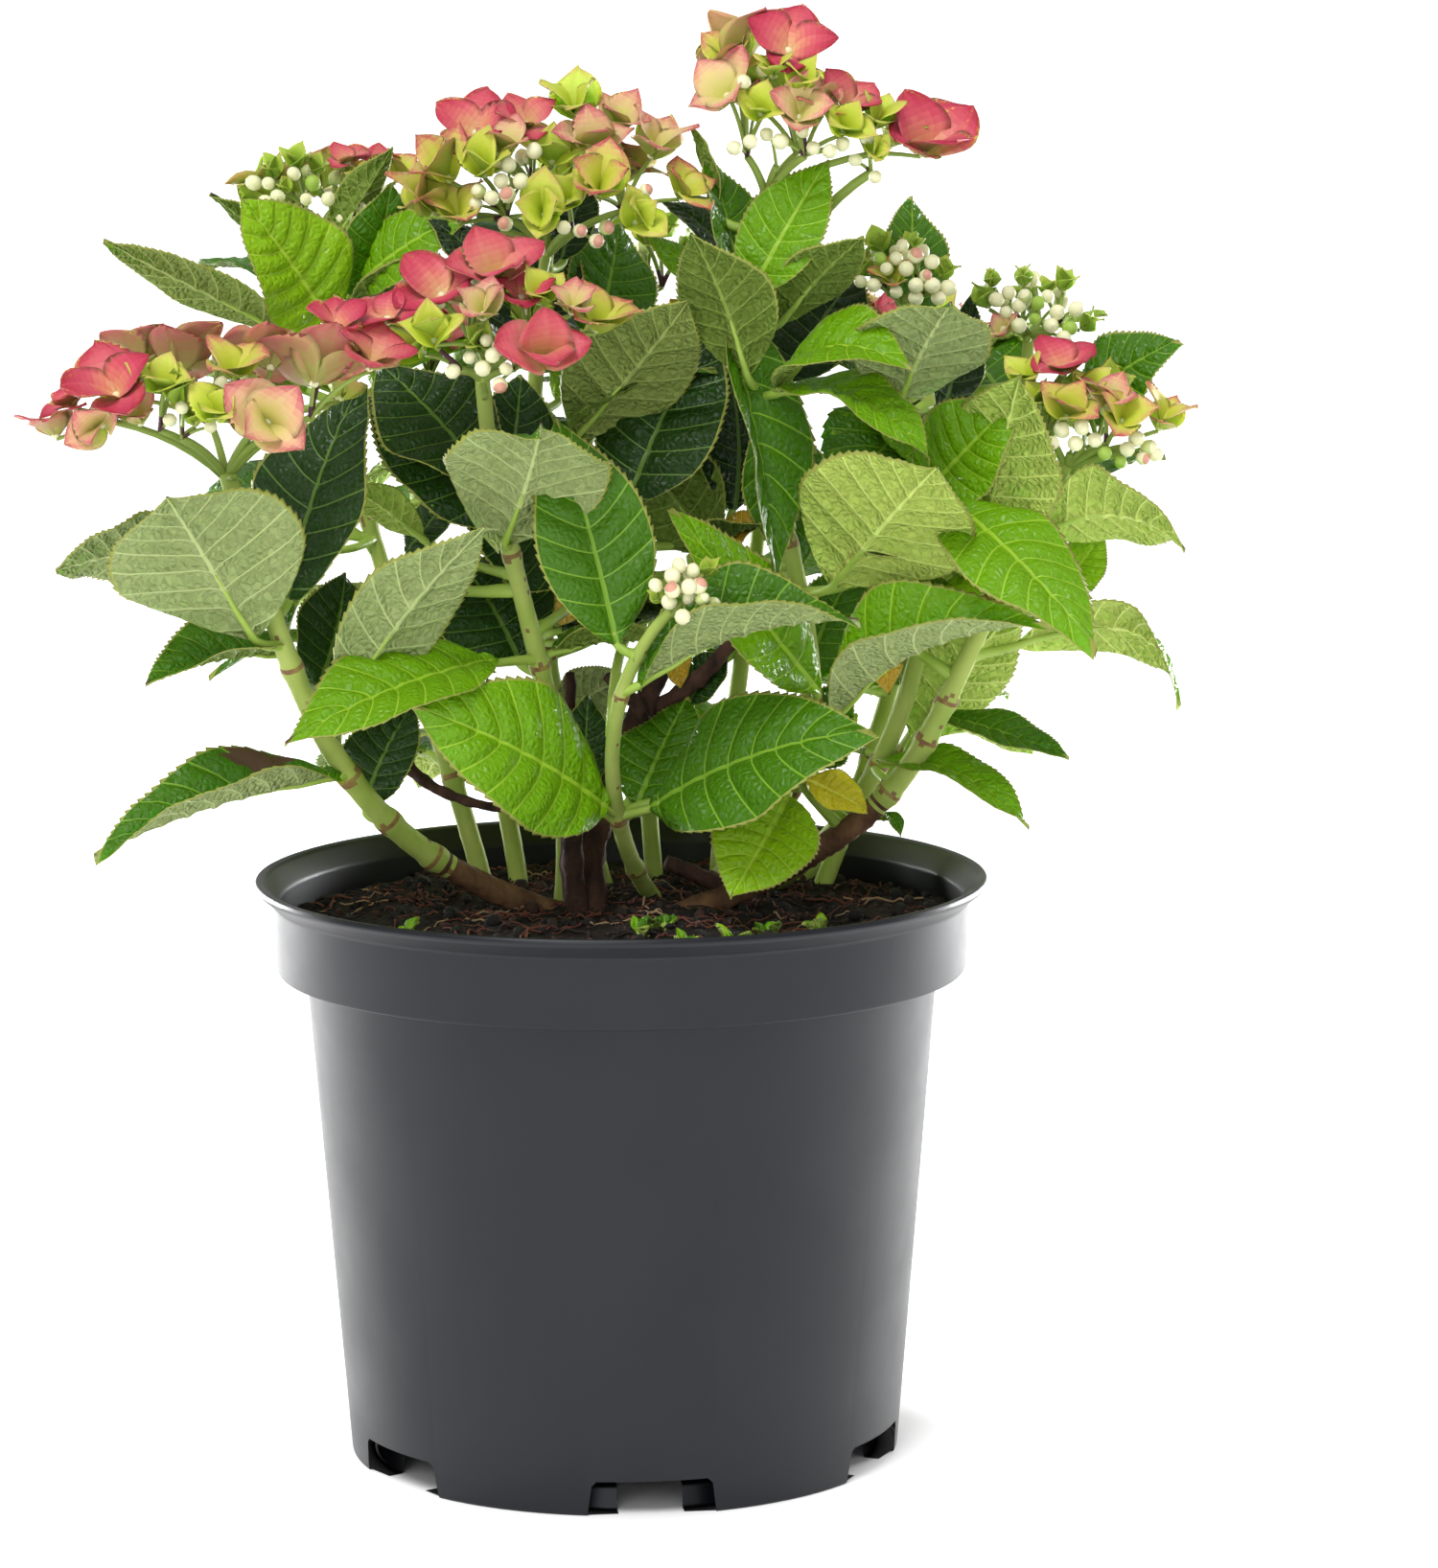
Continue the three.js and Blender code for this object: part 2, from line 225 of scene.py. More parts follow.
# Each tint of leaf: its upper side and its underside.
TINTS = {
    "bright": ("bright", "light"), "young": ("young", "light"), "mid": ("mid", "moss"),
    "dark": ("dark", "moss"), "deep": ("deep", "shade"), "grey": ("mid", "grey"), "olive": ("mid", "olive"),
    "light": ("bright", "light"), "moss": ("mid", "moss"), "pale": ("bright", "grey"),
    "yellow": ("yellow", "light"), "ochre": ("ochre", "light"), "spotted": ("mid", "grey"),
}
for tint, (between, beside) in TOPS.items():
    paint("top_" + tint, between, 0.34, TOP_BUMPS, thin=0.2, specular=0.26, rough_mix=(110, 0.28, 0.46))
    vein = tuple(int(c + (v - c) * 0.3) for c, v in zip(beside, (190, 214, 110)))
    paint("top_vein_" + tint, vein, 0.4, (), thin=0.2, specular=0.3)
for tint, (between, beside) in UNDERS.items():
    paint("under_" + tint, between, 0.6, UNDER_BUMPS, thin=0.2, specular=0.25)
    paint("under_vein_" + tint, beside, 0.55, (), thin=0.2, specular=0.25)
paint("leaf_rim", (140, 146, 66), specular=0.3)
paint("leaf_scorch", (86, 62, 44), 0.8, grain(900, 0.4, 0.4))
paint("petiole", (160, 184, 84), 0.45, grain(700, 0.15, 0.3), 0.15, 0.3, (140, 170, 66), 120)
paint("stem_skin", (144, 166, 74), 0.7, grain(500, 0.25, 0.4), 0, 0.25, (166, 180, 96), 110, (1, 1, 0.35))
paint("stem_fleck", (120, 96, 56), 0.7, grain(900, 0.4, 0.4))
paint("stem_node", (112, 74, 44), 0.7, grain(900, 0.5, 0.5), mix=(146, 128, 66), mix_scale=300)
bark = grain(420, 0.7, 0.9)
paint("wood", (66, 44, 34), 0.8, (*bark, ("net", 260, 0.4, 0.8)), 0, 0.2, (118, 88, 62), 140, (1, 1, 0.3))
paint("wood_dark", (38, 26, 24), 0.9, (*bark, ("net", 300, 0.5, 0.8)), 0, 0.2, (82, 58, 48), 160,
      (1, 1, 0.35))
paint("pedicel", (132, 152, 70), bumps=grain(900, 0.2, 0.2), specular=0.25)
paint("pedicel_dark", (74, 44, 52), bumps=grain(900, 0.2, 0.2), specular=0.25)
BUDS = dict(cream=(226, 224, 184), shade=(188, 198, 130), green=(150, 180, 70), blush=(206, 150, 128))
for name, rgb in BUDS.items():
    paint("bud_" + name, rgb, bumps=grain(1200, 0.15, 0.15), thin=0.2)

# Sepals: colours from the middle to the rim on the face.
SEPAL_BUMPS = (("noise", 420, 0.25, 0.4), ("net", 380, 0.12, 0.3))
SEPALS = {
    "crimson": [(236, 204, 146), (228, 142, 120), (212, 86, 102), (198, 56, 84), (172, 36, 64)],
    "rose": [(222, 196, 124), (222, 158, 122), (218, 116, 114), (208, 84, 98), (184, 52, 76)],
    "peach": [(206, 206, 104), (218, 208, 126), (226, 198, 142), (222, 160, 134), (198, 94, 104)],
    "limerose": [(190, 204, 54), (200, 208, 66), (208, 206, 84), (212, 176, 104), (192, 84, 88)],
    "lime": [(182, 200, 46), (192, 208, 56), (200, 212, 70), (206, 210, 86), (208, 184, 100)],
    "green": [(146, 178, 44), (156, 186, 54), (166, 192, 64), (176, 196, 76), (188, 186, 88)],
}
# The back of a sepal: near its foot and at its rim.
SEPAL_BACKS = {
    "crimson": ((162, 146, 84), (192, 84, 90)), "rose": ((166, 160, 88), (196, 108, 104)),
    "peach": ((164, 176, 76), (206, 150, 116)), "limerose": ((158, 178, 62), (196, 154, 100)),
    "lime": ((152, 178, 54), (184, 196, 84)), "green": ((136, 166, 54), (156, 180, 72)),
}
SEPAL_TONE = 0.93
FACE_STEPS = 16
BACK_STEPS = 5


def blend(colours, share):
    """The colour at a share of the way along a row of colours."""
    spot = share * (len(colours) - 1)
    first = min(int(spot), len(colours) - 2)
    return tuple(int(a + (b - a) * (spot - first)) for a, b in zip(colours[first], colours[first + 1]))


for kind in SEPALS:
    for step in range(FACE_STEPS):
        colour = [c * SEPAL_TONE for c in blend(SEPALS[kind], step / (FACE_STEPS - 1))]
        paint(f"sepal_{kind}_{step}", colour, 0.5, SEPAL_BUMPS, thin=0.3, specular=0.3)
    for step in range(BACK_STEPS):
        colour = [c * SEPAL_TONE for c in blend(SEPAL_BACKS[kind], step / (BACK_STEPS - 1))]
        paint(f"sepal_{kind}_back_{step}", colour, 0.55, SEPAL_BUMPS, thin=0.3, specular=0.25)


# ---- Meshes ----
def standing(name, data):
    """A new object in the scene."""
    thing = bpy.data.objects.new(name, data)
    scene.collection.objects.link(thing)
    return thing


class Heap:
    """Faces gathered in millimetres and joined into one mesh."""

    def __init__(self):
        self.points, self.faces, self.kinds, self.total = [], [], [], 0

    def add(self, points, *groups):
        """Points with groups of faces on them, each (corners, kinds)."""
        for faces, kinds in groups:
            self.faces.append(np.asarray(faces, int) + self.total)
            self.kinds.append(np.broadcast_to(np.asarray(kinds, int), len(faces)))
        self.points.append(np.asarray(points, float))
        self.total += len(points)

    def piece(self, name, slot, nodes=()):
        points = np.concatenate(self.points) * MM
        corners = np.concatenate([faces.ravel() for faces in self.faces])
        sizes = np.concatenate([np.full(len(faces), faces.shape[1]) for faces in self.faces])
        used, kinds = np.unique(np.concatenate(self.kinds), return_inverse=True)
        mesh = bpy.data.meshes.new(name)
        mesh.vertices.add(len(points))
        mesh.vertices.foreach_set("co", points.astype(np.float32).ravel())
        mesh.loops.add(len(corners))
        mesh.loops.foreach_set("vertex_index", corners.astype(np.int32))
        mesh.polygons.add(len(sizes))
        mesh.polygons.foreach_set("loop_start", (np.cumsum(sizes) - sizes).astype(np.int32))
        mesh.polygons.foreach_set("material_index", kinds.astype(np.int32))
        mesh.polygons.foreach_set("use_smooth", np.ones(len(sizes), bool))
        for number in used:
            mesh.materials.append(PAINTS[number])
        mesh.update(calc_edges=True)
        mesh.validate()
        piece = standing(name, mesh)
        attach(piece, "root")
        if nodes:
            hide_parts(*nodes)
        return piece


def ring_faces(rings, sides):
    i, k = np.meshgrid(np.arange(rings - 1), np.arange(sides), indexing="ij")
    i, k = i.ravel(), k.ravel()
    n = (k + 1) % sides
    return np.stack([i * sides + k, i * sides + n, (i + 1) * sides + n, (i + 1) * sides + k], 1)


def fan(hub, first, sides, onward):
    """Triangles that close a ring on its hub; first is the ring's first point."""
    k = np.arange(sides)
    n = (k + 1) % sides
    return np.stack([np.full(sides, hub), first + (k if onward else n), first + (n if onward else k)], 1)


def circle(sides, side, other):
    turn = np.arange(sides) / sides * 2 * math.pi
    return np.cos(turn)[:, None] * side + np.sin(turn)[:, None] * other


def tube(heap, path, radii, kinds, sides=8, bark=None):
    """A closed tube. kinds is one number or one for each ring of faces; bark roughens the radius."""
    path = np.asarray(path, float)
    count = len(path)
    radii = np.broadcast_to(np.asarray(radii, float), count)
    tangents = np.gradient(path, axis=0)
    tangents /= np.linalg.norm(tangents, axis=1)[:, None]
    side = across(tangents[0])
    points = []
    for i, tangent in enumerate(tangents):
        side = unit(side - tangent * (side @ tangent))
        radius = radii[i] * (np.ones(sides) if bark is None else bark[i])
        points.append(path[i] + radius[:, None] * circle(sides, side, np.cross(tangent, side)))
    kinds = np.asarray(kinds, int)
    kinds = np.broadcast_to(kinds if kinds.ndim == 2 else kinds.reshape(-1, 1), (count - 1, sides))
    heap.add(np.concatenate(points + [path[:1], path[-1:]]), (ring_faces(count, sides), kinds.ravel()),
             (fan(count * sides, 0, sides, False), kinds[0]),
             (fan(count * sides + 1, (count - 1) * sides, sides, True), kinds[-1]))


def ball(heap, centre, axis, radius, kind, tip_kind=None, length=1.08, rings=7, sides=10):
    """A bud: a round body a little longer along its axis, with a small tip."""
    axis = unit(axis)
    side = across(axis)
    around = circle(sides, side, np.cross(axis, side))
    points = [centre - axis * radius * length]
    for angle in np.linspace(0.12, math.pi, rings + 1)[-2::-1]:
        points.append(centre + axis * (math.cos(angle) * radius * length) + math.sin(angle) * radius * around)
    points = np.vstack([np.atleast_2d(p) for p in points] + [centre + axis * radius * length * 1.06])
    body = ring_faces(rings, sides) + 1
    kinds = np.full(len(body), NUMBERS[kind])
    if tip_kind:
        kinds[-sides * 2:] = NUMBERS[tip_kind]
    last = 1 + (rings - 1) * sides
    heap.add(points, (body, kinds), (fan(0, 1, sides, False), kinds[0]),
             (fan(len(points) - 1, last, sides, True), kinds[-1]))


# The order of a face's corners on the upper and the lower skin, for each way that the skins are wound.
WINDINGS = {False: ((0, 1, 2, 3), (3, 2, 1, 0)), True: ((0, 3, 2, 1), (1, 2, 3, 0))}


def two_skins(heap, upper, lower, top_kinds, under_kinds, turned):
    """A thin blade: an upper and a lower grid of points that share their outer columns."""
    rows, cols = upper.shape[:2]
    top = np.arange(rows * cols).reshape(rows, cols)
    under = top.copy()
    under[:, 1:-1] = rows * cols + np.arange(rows * (cols - 2)).reshape(rows, cols - 2)
    groups = []
    for index, kinds, order in zip((top, under), (top_kinds, under_kinds), WINDINGS[turned]):
        corners = (index[:-1, :-1], index[:-1, 1:], index[1:, 1:], index[1:, :-1])
        groups.append((np.stack([corners[k].ravel() for k in order], 1), kinds.ravel()))
    heap.add(np.vstack([upper.reshape(-1, 3), lower[:, 1:-1].reshape(-1, 3)]), *groups)


# ---- Leaves ----
SIDE_VEINS = 8
VEIN_HALF = 0.0035
VEIN_SUNK = 0.22


def blade_grid(between, side):
    """Rows that follow the side veins, with those between two veins as (share of the gap, tooth height).

    Returns the rows' places on the midrib, swellings and teeth, the rows that start a vein, and the columns.
    """
    marks = 0.05 + 0.78 * (np.arange(SIDE_VEINS) / (SIDE_VEINS - 1)) ** 0.94
    place, swell, teeth, strips, last = [0.004], [0.0], [0.0], [], 0.004
    for mark in marks:
        for part, tooth in between:
            place.append(last + (mark - VEIN_HALF - last) * part)
            swell.append(math.sin(math.pi * part) ** 0.8)
            teeth.append(tooth)
        strips.append(len(place))
        place += [mark - VEIN_HALF, mark + VEIN_HALF]
        swell += [0.0, 0.0]
        teeth += [1.0, 0.0]
        last = mark + VEIN_HALF
    for part, tooth in (*between, (1.0, 0.0)):
        place.append(last + (0.998 - last) * part)
        swell.append(math.sin(math.pi * part) * 0.4)
        teeth.append(tooth)
    side = np.array(side)
    return np.array(place), np.array(swell), np.array(teeth), strips, np.concatenate([-side[::-1], side])


RIB = 0.026
FINE = blade_grid(((0.15, 0.45), (0.31, 1.0), (0.38, 0.0), (0.64, 1.0), (0.71, 0.0)),
                  [RIB, 0.14, 0.3, 0.48, 0.66, 0.83, 0.975, 1.0])
COARSE = blade_grid(((0.36, 1.0), (0.46, 0.0)), [RIB, 0.32, 0.66, 0.95, 1.0])
TINY = blade_grid(((0.5, 0.5),), [RIB, 0.5, 1.0])


def outline(margin):
    """Half width along the margin, 1 at the widest, drawn out to a point."""
    return margin ** 0.88 * (1 - margin) ** 1.1 / 0.2566


def blade(heap, base, tip, normal, width, arch, fold, tint, rng, grid=FINE):
    place, swell, teeth, strips, columns = grid
    base, tip = np.asarray(base, float), np.asarray(tip, float)
    length = np.linalg.norm(tip - base)
    along = (tip - base) / length
    normal = unit(normal - along * (normal @ along))
    side = np.cross(along, normal)
    rows, cols = len(place), len(columns)
    reach, hand = np.abs(columns)[None, :], np.sign(columns)[None, :]
    margin = 1 - (1 - place) ** 1.5
    rib = (0.95 - 0.7 * place[:, None]) * min(1, width / 24)
    half = np.maximum(width / 2 * outline(margin)[:, None], rib * 1.1)
    s = place[:, None] + (margin - place)[:, None] * reach ** 1.4
    y = hand * (rib + (reach - RIB) / (1 - RIB) * (half - rib))
    tooth = teeth[:, None] * (reach > 0.999) * np.clip(half / (width * 0.22), 0, 1)
    y = y + hand * tooth * min(0.9, width * 0.026)
    s = s + tooth * 0.007
    curl = rng.uniform(0.0, 0.09)
    phase = rng.uniform(0, 2 * math.pi, 2)
    waves = rng.uniform(0.018, 0.045)
    ripple = np.sin(2 * math.pi * 2.1 * margin[:, None] + np.where(hand > 0, phase[0], phase[1]))
    veined = np.zeros((rows, 1))
    veined[np.add.outer(strips, (0, 1)).ravel()] = VEIN_SUNK
    z = swell[:, None] * 0.032 * width * np.sin(math.pi * reach ** 0.8)
    pucker = rng.uniform(0, 6, 4)
    far = s * length
    z = z + 0.16 * np.sin(far * 0.9 + y * 0.5 + pucker[0]) * np.sin(y - far * 0.3 + pucker[1])
    z = z + 0.35 * reach * np.sin(far * 0.31 + pucker[2]) * np.sin(y * 0.36 + pucker[3])
    z = z + waves * width * reach ** 2 * ripple - curl * width * reach ** 2
    z = z - 0.35 * (reach < 0.06) - veined * (reach < 0.9) + np.abs(y) * math.sin(math.radians(fold))
    y = y * math.cos(math.radians(fold))
    twist = rng.uniform(-0.25, 0.25) * (s - 0.4)
    y, z = y * np.cos(twist) - z * np.sin(twist), z * np.cos(twist) + y * np.sin(twist)
    sway = rng.uniform(-0.035, 0.035) * length
    y = y + sway * 4 * s * (1 - s)
    z = z + arch * length * 4 * s * (1 - s)
    inner = (reach < 0.999) * 1.0
    midrib_depth = 1.1 * (reach < 0.06) * (1 - 0.75 * place[:, None])
    drop = inner * (LEAF_THICKNESS + veined * (reach < 0.9) + midrib_depth)

    def points(lift):
        local = np.stack(np.broadcast_arrays(s * length, y, z - lift), -1)
        return base + local[..., :1] * along + local[..., 1:2] * side + local[..., 2:] * normal

    lower = points(drop)
    midrib = (lower[:, cols // 2 - 1] + lower[:, cols // 2]) / 2
    skins = []
    for name in ("top_{}{}", "under_{}{}"):
        shade = TINTS[tint][len(skins)]
        kinds = np.full((rows - 1, cols - 1), NUMBERS[name.format("", shade)])
        for strip in strips:
            kinds[strip, 1:-1] = NUMBERS[name.format("vein_", shade)]
        kinds[:, cols // 2 - 1] = NUMBERS[name.format("vein_", shade)]
        if grid is FINE:
            kinds[:, [0, -1]] = NUMBERS["leaf_rim"]
        skins.append(kinds)
    if tint == "spotted":
        s_face, c_face = place[:-1, None], (columns[:-1] + columns[1:])[None, :] / 2
        patch = ((s_face - 0.22) / 0.10) ** 2 + ((np.abs(c_face) - 0.62) / 0.34) ** 2 < 1
        skins[0][patch] = NUMBERS["leaf_scorch"]
    skins[0][-1] = NUMBERS[rng.choice(["leaf_rim", "leaf_scorch"], p=[0.7, 0.3])]
    two_skins(heap, points(0 * drop), lower, *skins, False)
    rib_ends = [int(np.argmin(np.abs(place - share))) for share in (0.02, 0.08, 0.16, 0.26, 0.38)]
    return unit(along + 4 * arch * normal), midrib[rib_ends]


def petiole(heap, start, arrival, midrib, thick=(1.7, 1.3)):
    """A leaf stalk from the shoot to the blade, which runs on under the blade as the foot of its midrib."""
    end = midrib[0]
    gap = np.linalg.norm(end - start)
    middle = end - arrival * gap * 0.45
    path = bezier([start, start * 0.35 + middle * 0.65 + UP * gap * 0.04, middle * 0.4 + end * 0.6, end], 8)
    radii = np.linspace(thick[0], thick[1], 9)
    radii[0] *= 1.5
    radii[1] *= 1.15
    path = np.vstack([path, midrib[1:]])
    radii = np.concatenate([radii, thick[1] * np.array([0.86, 0.68, 0.5, 0.25])])
    tube(heap, path, radii, NUMBERS["petiole"], 8)


# ---- Shoots ----
# foot [x, y], the point it heads for as it leaves, the point it comes from as it arrives, and its tip;
# thickness at the foot and the tip; heights of its leaf joints; height up to which it is woody.
SHOOTS = {
    "stem_left": ((-15, 5), (-90, -7, 192), (-95, -53, 242), (-116, -64, 316),
        8.4, 5.4, (190, 203, 218, 254, 292), 186),
    "stem_centre_left": ((-19, 20), (-11, 2, 232), (-37, -39, 278), (-40, -50, 344),
        7.2, 4.6, (206, 228, 251, 287, 318), 0),
    "stem_front": ((12, 30), (-3, -30, 194), (-12, -44, 244), (17, -62, 274), 6, 3.6, (184, 203, 246), 0),
    "stem_tall": ((24, 60), (103, -13, 240), (23, -10, 298), (46, -4, 396),
        7.4, 4.4, (205, 236, 286, 322, 341, 372), 0),
    "stem_right_inner": ((36, 50), (95, 8, 194), (111, -5, 295), (89, 14, 362),
        7.2, 4, (215, 262, 304, 338), 0),
    "stem_right_outer": ((15, 2), (109, 19, 202), (86, -10, 223), (138, -12, 312),
        8.6, 5, (208, 225, 237, 270, 296), 204),
    "stem_back_right": ((55, 72), (118, 62, 235), (126, 40, 290), (129, 33, 350),
        6.6, 3.8, (210, 248, 286, 322), 0),
    "stem_upper_left": ((-44, 46), (-62, 60, 240), (-96, 60, 300), (-95, 57, 384),
        6.6, 4, (206, 246, 288, 326, 358), 0),
    "stem_upper_centre": ((-6, 52), (-30, 44, 250), (-32, 24, 300), (-22, 13, 378),
        7, 4.4, (208, 248, 290, 328, 356), 0),
    "stem_centre_back": ((10, 64), (2, 84, 240), (12, 86, 300), (8, 80, 360),
        6, 3.6, (212, 252, 294, 334), 0),
    "stem_rear_left": ((-34, 60), (-44, 84, 240), (-74, 108, 276), (-72, 104, 328),
        6.4, 4, (208, 246, 284, 318), 0),
    "stem_rear_centre": ((30, 70), (36, 92, 245), (48, 122, 270), (46, 122, 330),
        6.4, 4, (208, 246, 282, 312), 0),
    "stem_rear_right": ((62, 52), (90, 96, 225), (102, 104, 272), (98, 97, 326),
        6.4, 4, (208, 246, 284, 318), 0),
}
OLD_WOOD = ((-8, -2), (-15, 4, 200), (6, 14, 232), (22, 22, 262), 8.6, 5.6)


def compost_top(x, y):
    return COMPOST["crown"] - (COMPOST["crown"] - COMPOST["edge"]) * min(math.hypot(x, y) / 106, 1)


def shoot_path(row, steps=72):
    foot, leaves, arrives, tip = row[:4]
    start = (*foot, compost_top(*foot) - SHOOT_SUNK)
    return bezier([start, leaves, arrives, tip], steps)


LIMBS = {name: shoot_path(row) for name, row in SHOOTS.items()}


def make_shoot(name):
    row = SHOOTS[name]
    path = shoot_path(row, 120)
    steps, sides = len(path), 14
    share = np.linspace(0, 1, steps)
    radii = (row[4] + (row[5] - row[4]) * share) / 2
    rng = np.random.default_rng(sum(map(ord, name)))
    flecked = rng.uniform(size=(steps - 1, sides)) < 0.008
    kinds = np.where(flecked, NUMBERS["stem_fleck"], NUMBERS["stem_skin"])
    height = path[:, 2]
    for joint in row[6]:
        at = int(np.argmin(np.abs(height - joint)))
        travel = np.linalg.norm(path - path[at], axis=1)
        swelling = 0.24 * np.exp(-(travel / 2.6) ** 2) - 0.05 * np.exp(-(travel / 0.7) ** 2)
        radii = radii * (1 + swelling)
        near = travel[:-1, None] + rng.normal(0, 0.5, (steps - 1, sides))
        kinds[near < 0.9] = NUMBERS["stem_node"]
        kinds[(near >= 0.9) & (near < 1.6) & (rng.uniform(size=near.shape) < 0.4)] = NUMBERS["stem_fleck"]
    woody = height + rng.normal(0, 1.5, steps) < row[7]
    kinds[woody[:-1]] = NUMBERS["wood"]
    ribs = 0.025 * np.sin(np.arange(sides) / sides * 2 * math.pi * 3 + share[:, None] * 7)
    rough = 1 + rng.normal(0, 0.012, (steps, sides)) + ribs
    rough = np.where(woody[:, None], 1 + rng.normal(0, 0.05, (steps, sides)), rough)
    heap = Heap()
    tube(heap, path, radii, kinds, sides, rough)
    return heap


def make_wood():
    """The dark pruned stock, and the cut stubs that stand beside it."""
    rng = np.random.default_rng(31)
    heap = Heap()
    stubs = [
        (shoot_path(OLD_WOOD, 50), 8.6, 5.6),
        (bezier([(-13, -6, 168), (-17, -10, 190), (-13, -8, 212), (-14, -6, 222)], 24), 6.6, 5.0),
        (bezier([(-16, 6, 170), (-20, 8, 215), (-14, 6, 236), (-16, 4, 246)], 26), 4.2, 3.0),
        (bezier([(10, 16, 232), (20, 10, 240), (30, 8, 246), (36, 10, 258)], 18), 5.4, 4.0),
        (bezier([(8, 14, 228), (6, 6, 236), (2, 0, 240), (-4, -4, 246)], 16), 4.6, 3.2),
        (bezier([(40, 6, 172), (34, 8, 178), (22, 6, 182), (14, 4, 186)], 16), 6.0, 4.4),
        (bezier([(-70, 24, 216), (-62, 12, 208), (-50, 4, 205), (-36, -2, 204)], 22), 4.0, 2.4),
    ]
    for path, foot, tip in stubs:
        count = len(path)
        knots = 1 + 0.22 * np.sin(np.linspace(0, 5 * math.pi, count)) ** 8
        bark = 1 + rng.normal(0, 0.07, (count, 14)) + 0.06 * np.sin(np.arange(14) * 2 * math.pi / 14 * 5)
        tube(heap, path, np.linspace(foot, tip, count) / 2 * knots, NUMBERS["wood_dark"], 14, bark)
    return heap


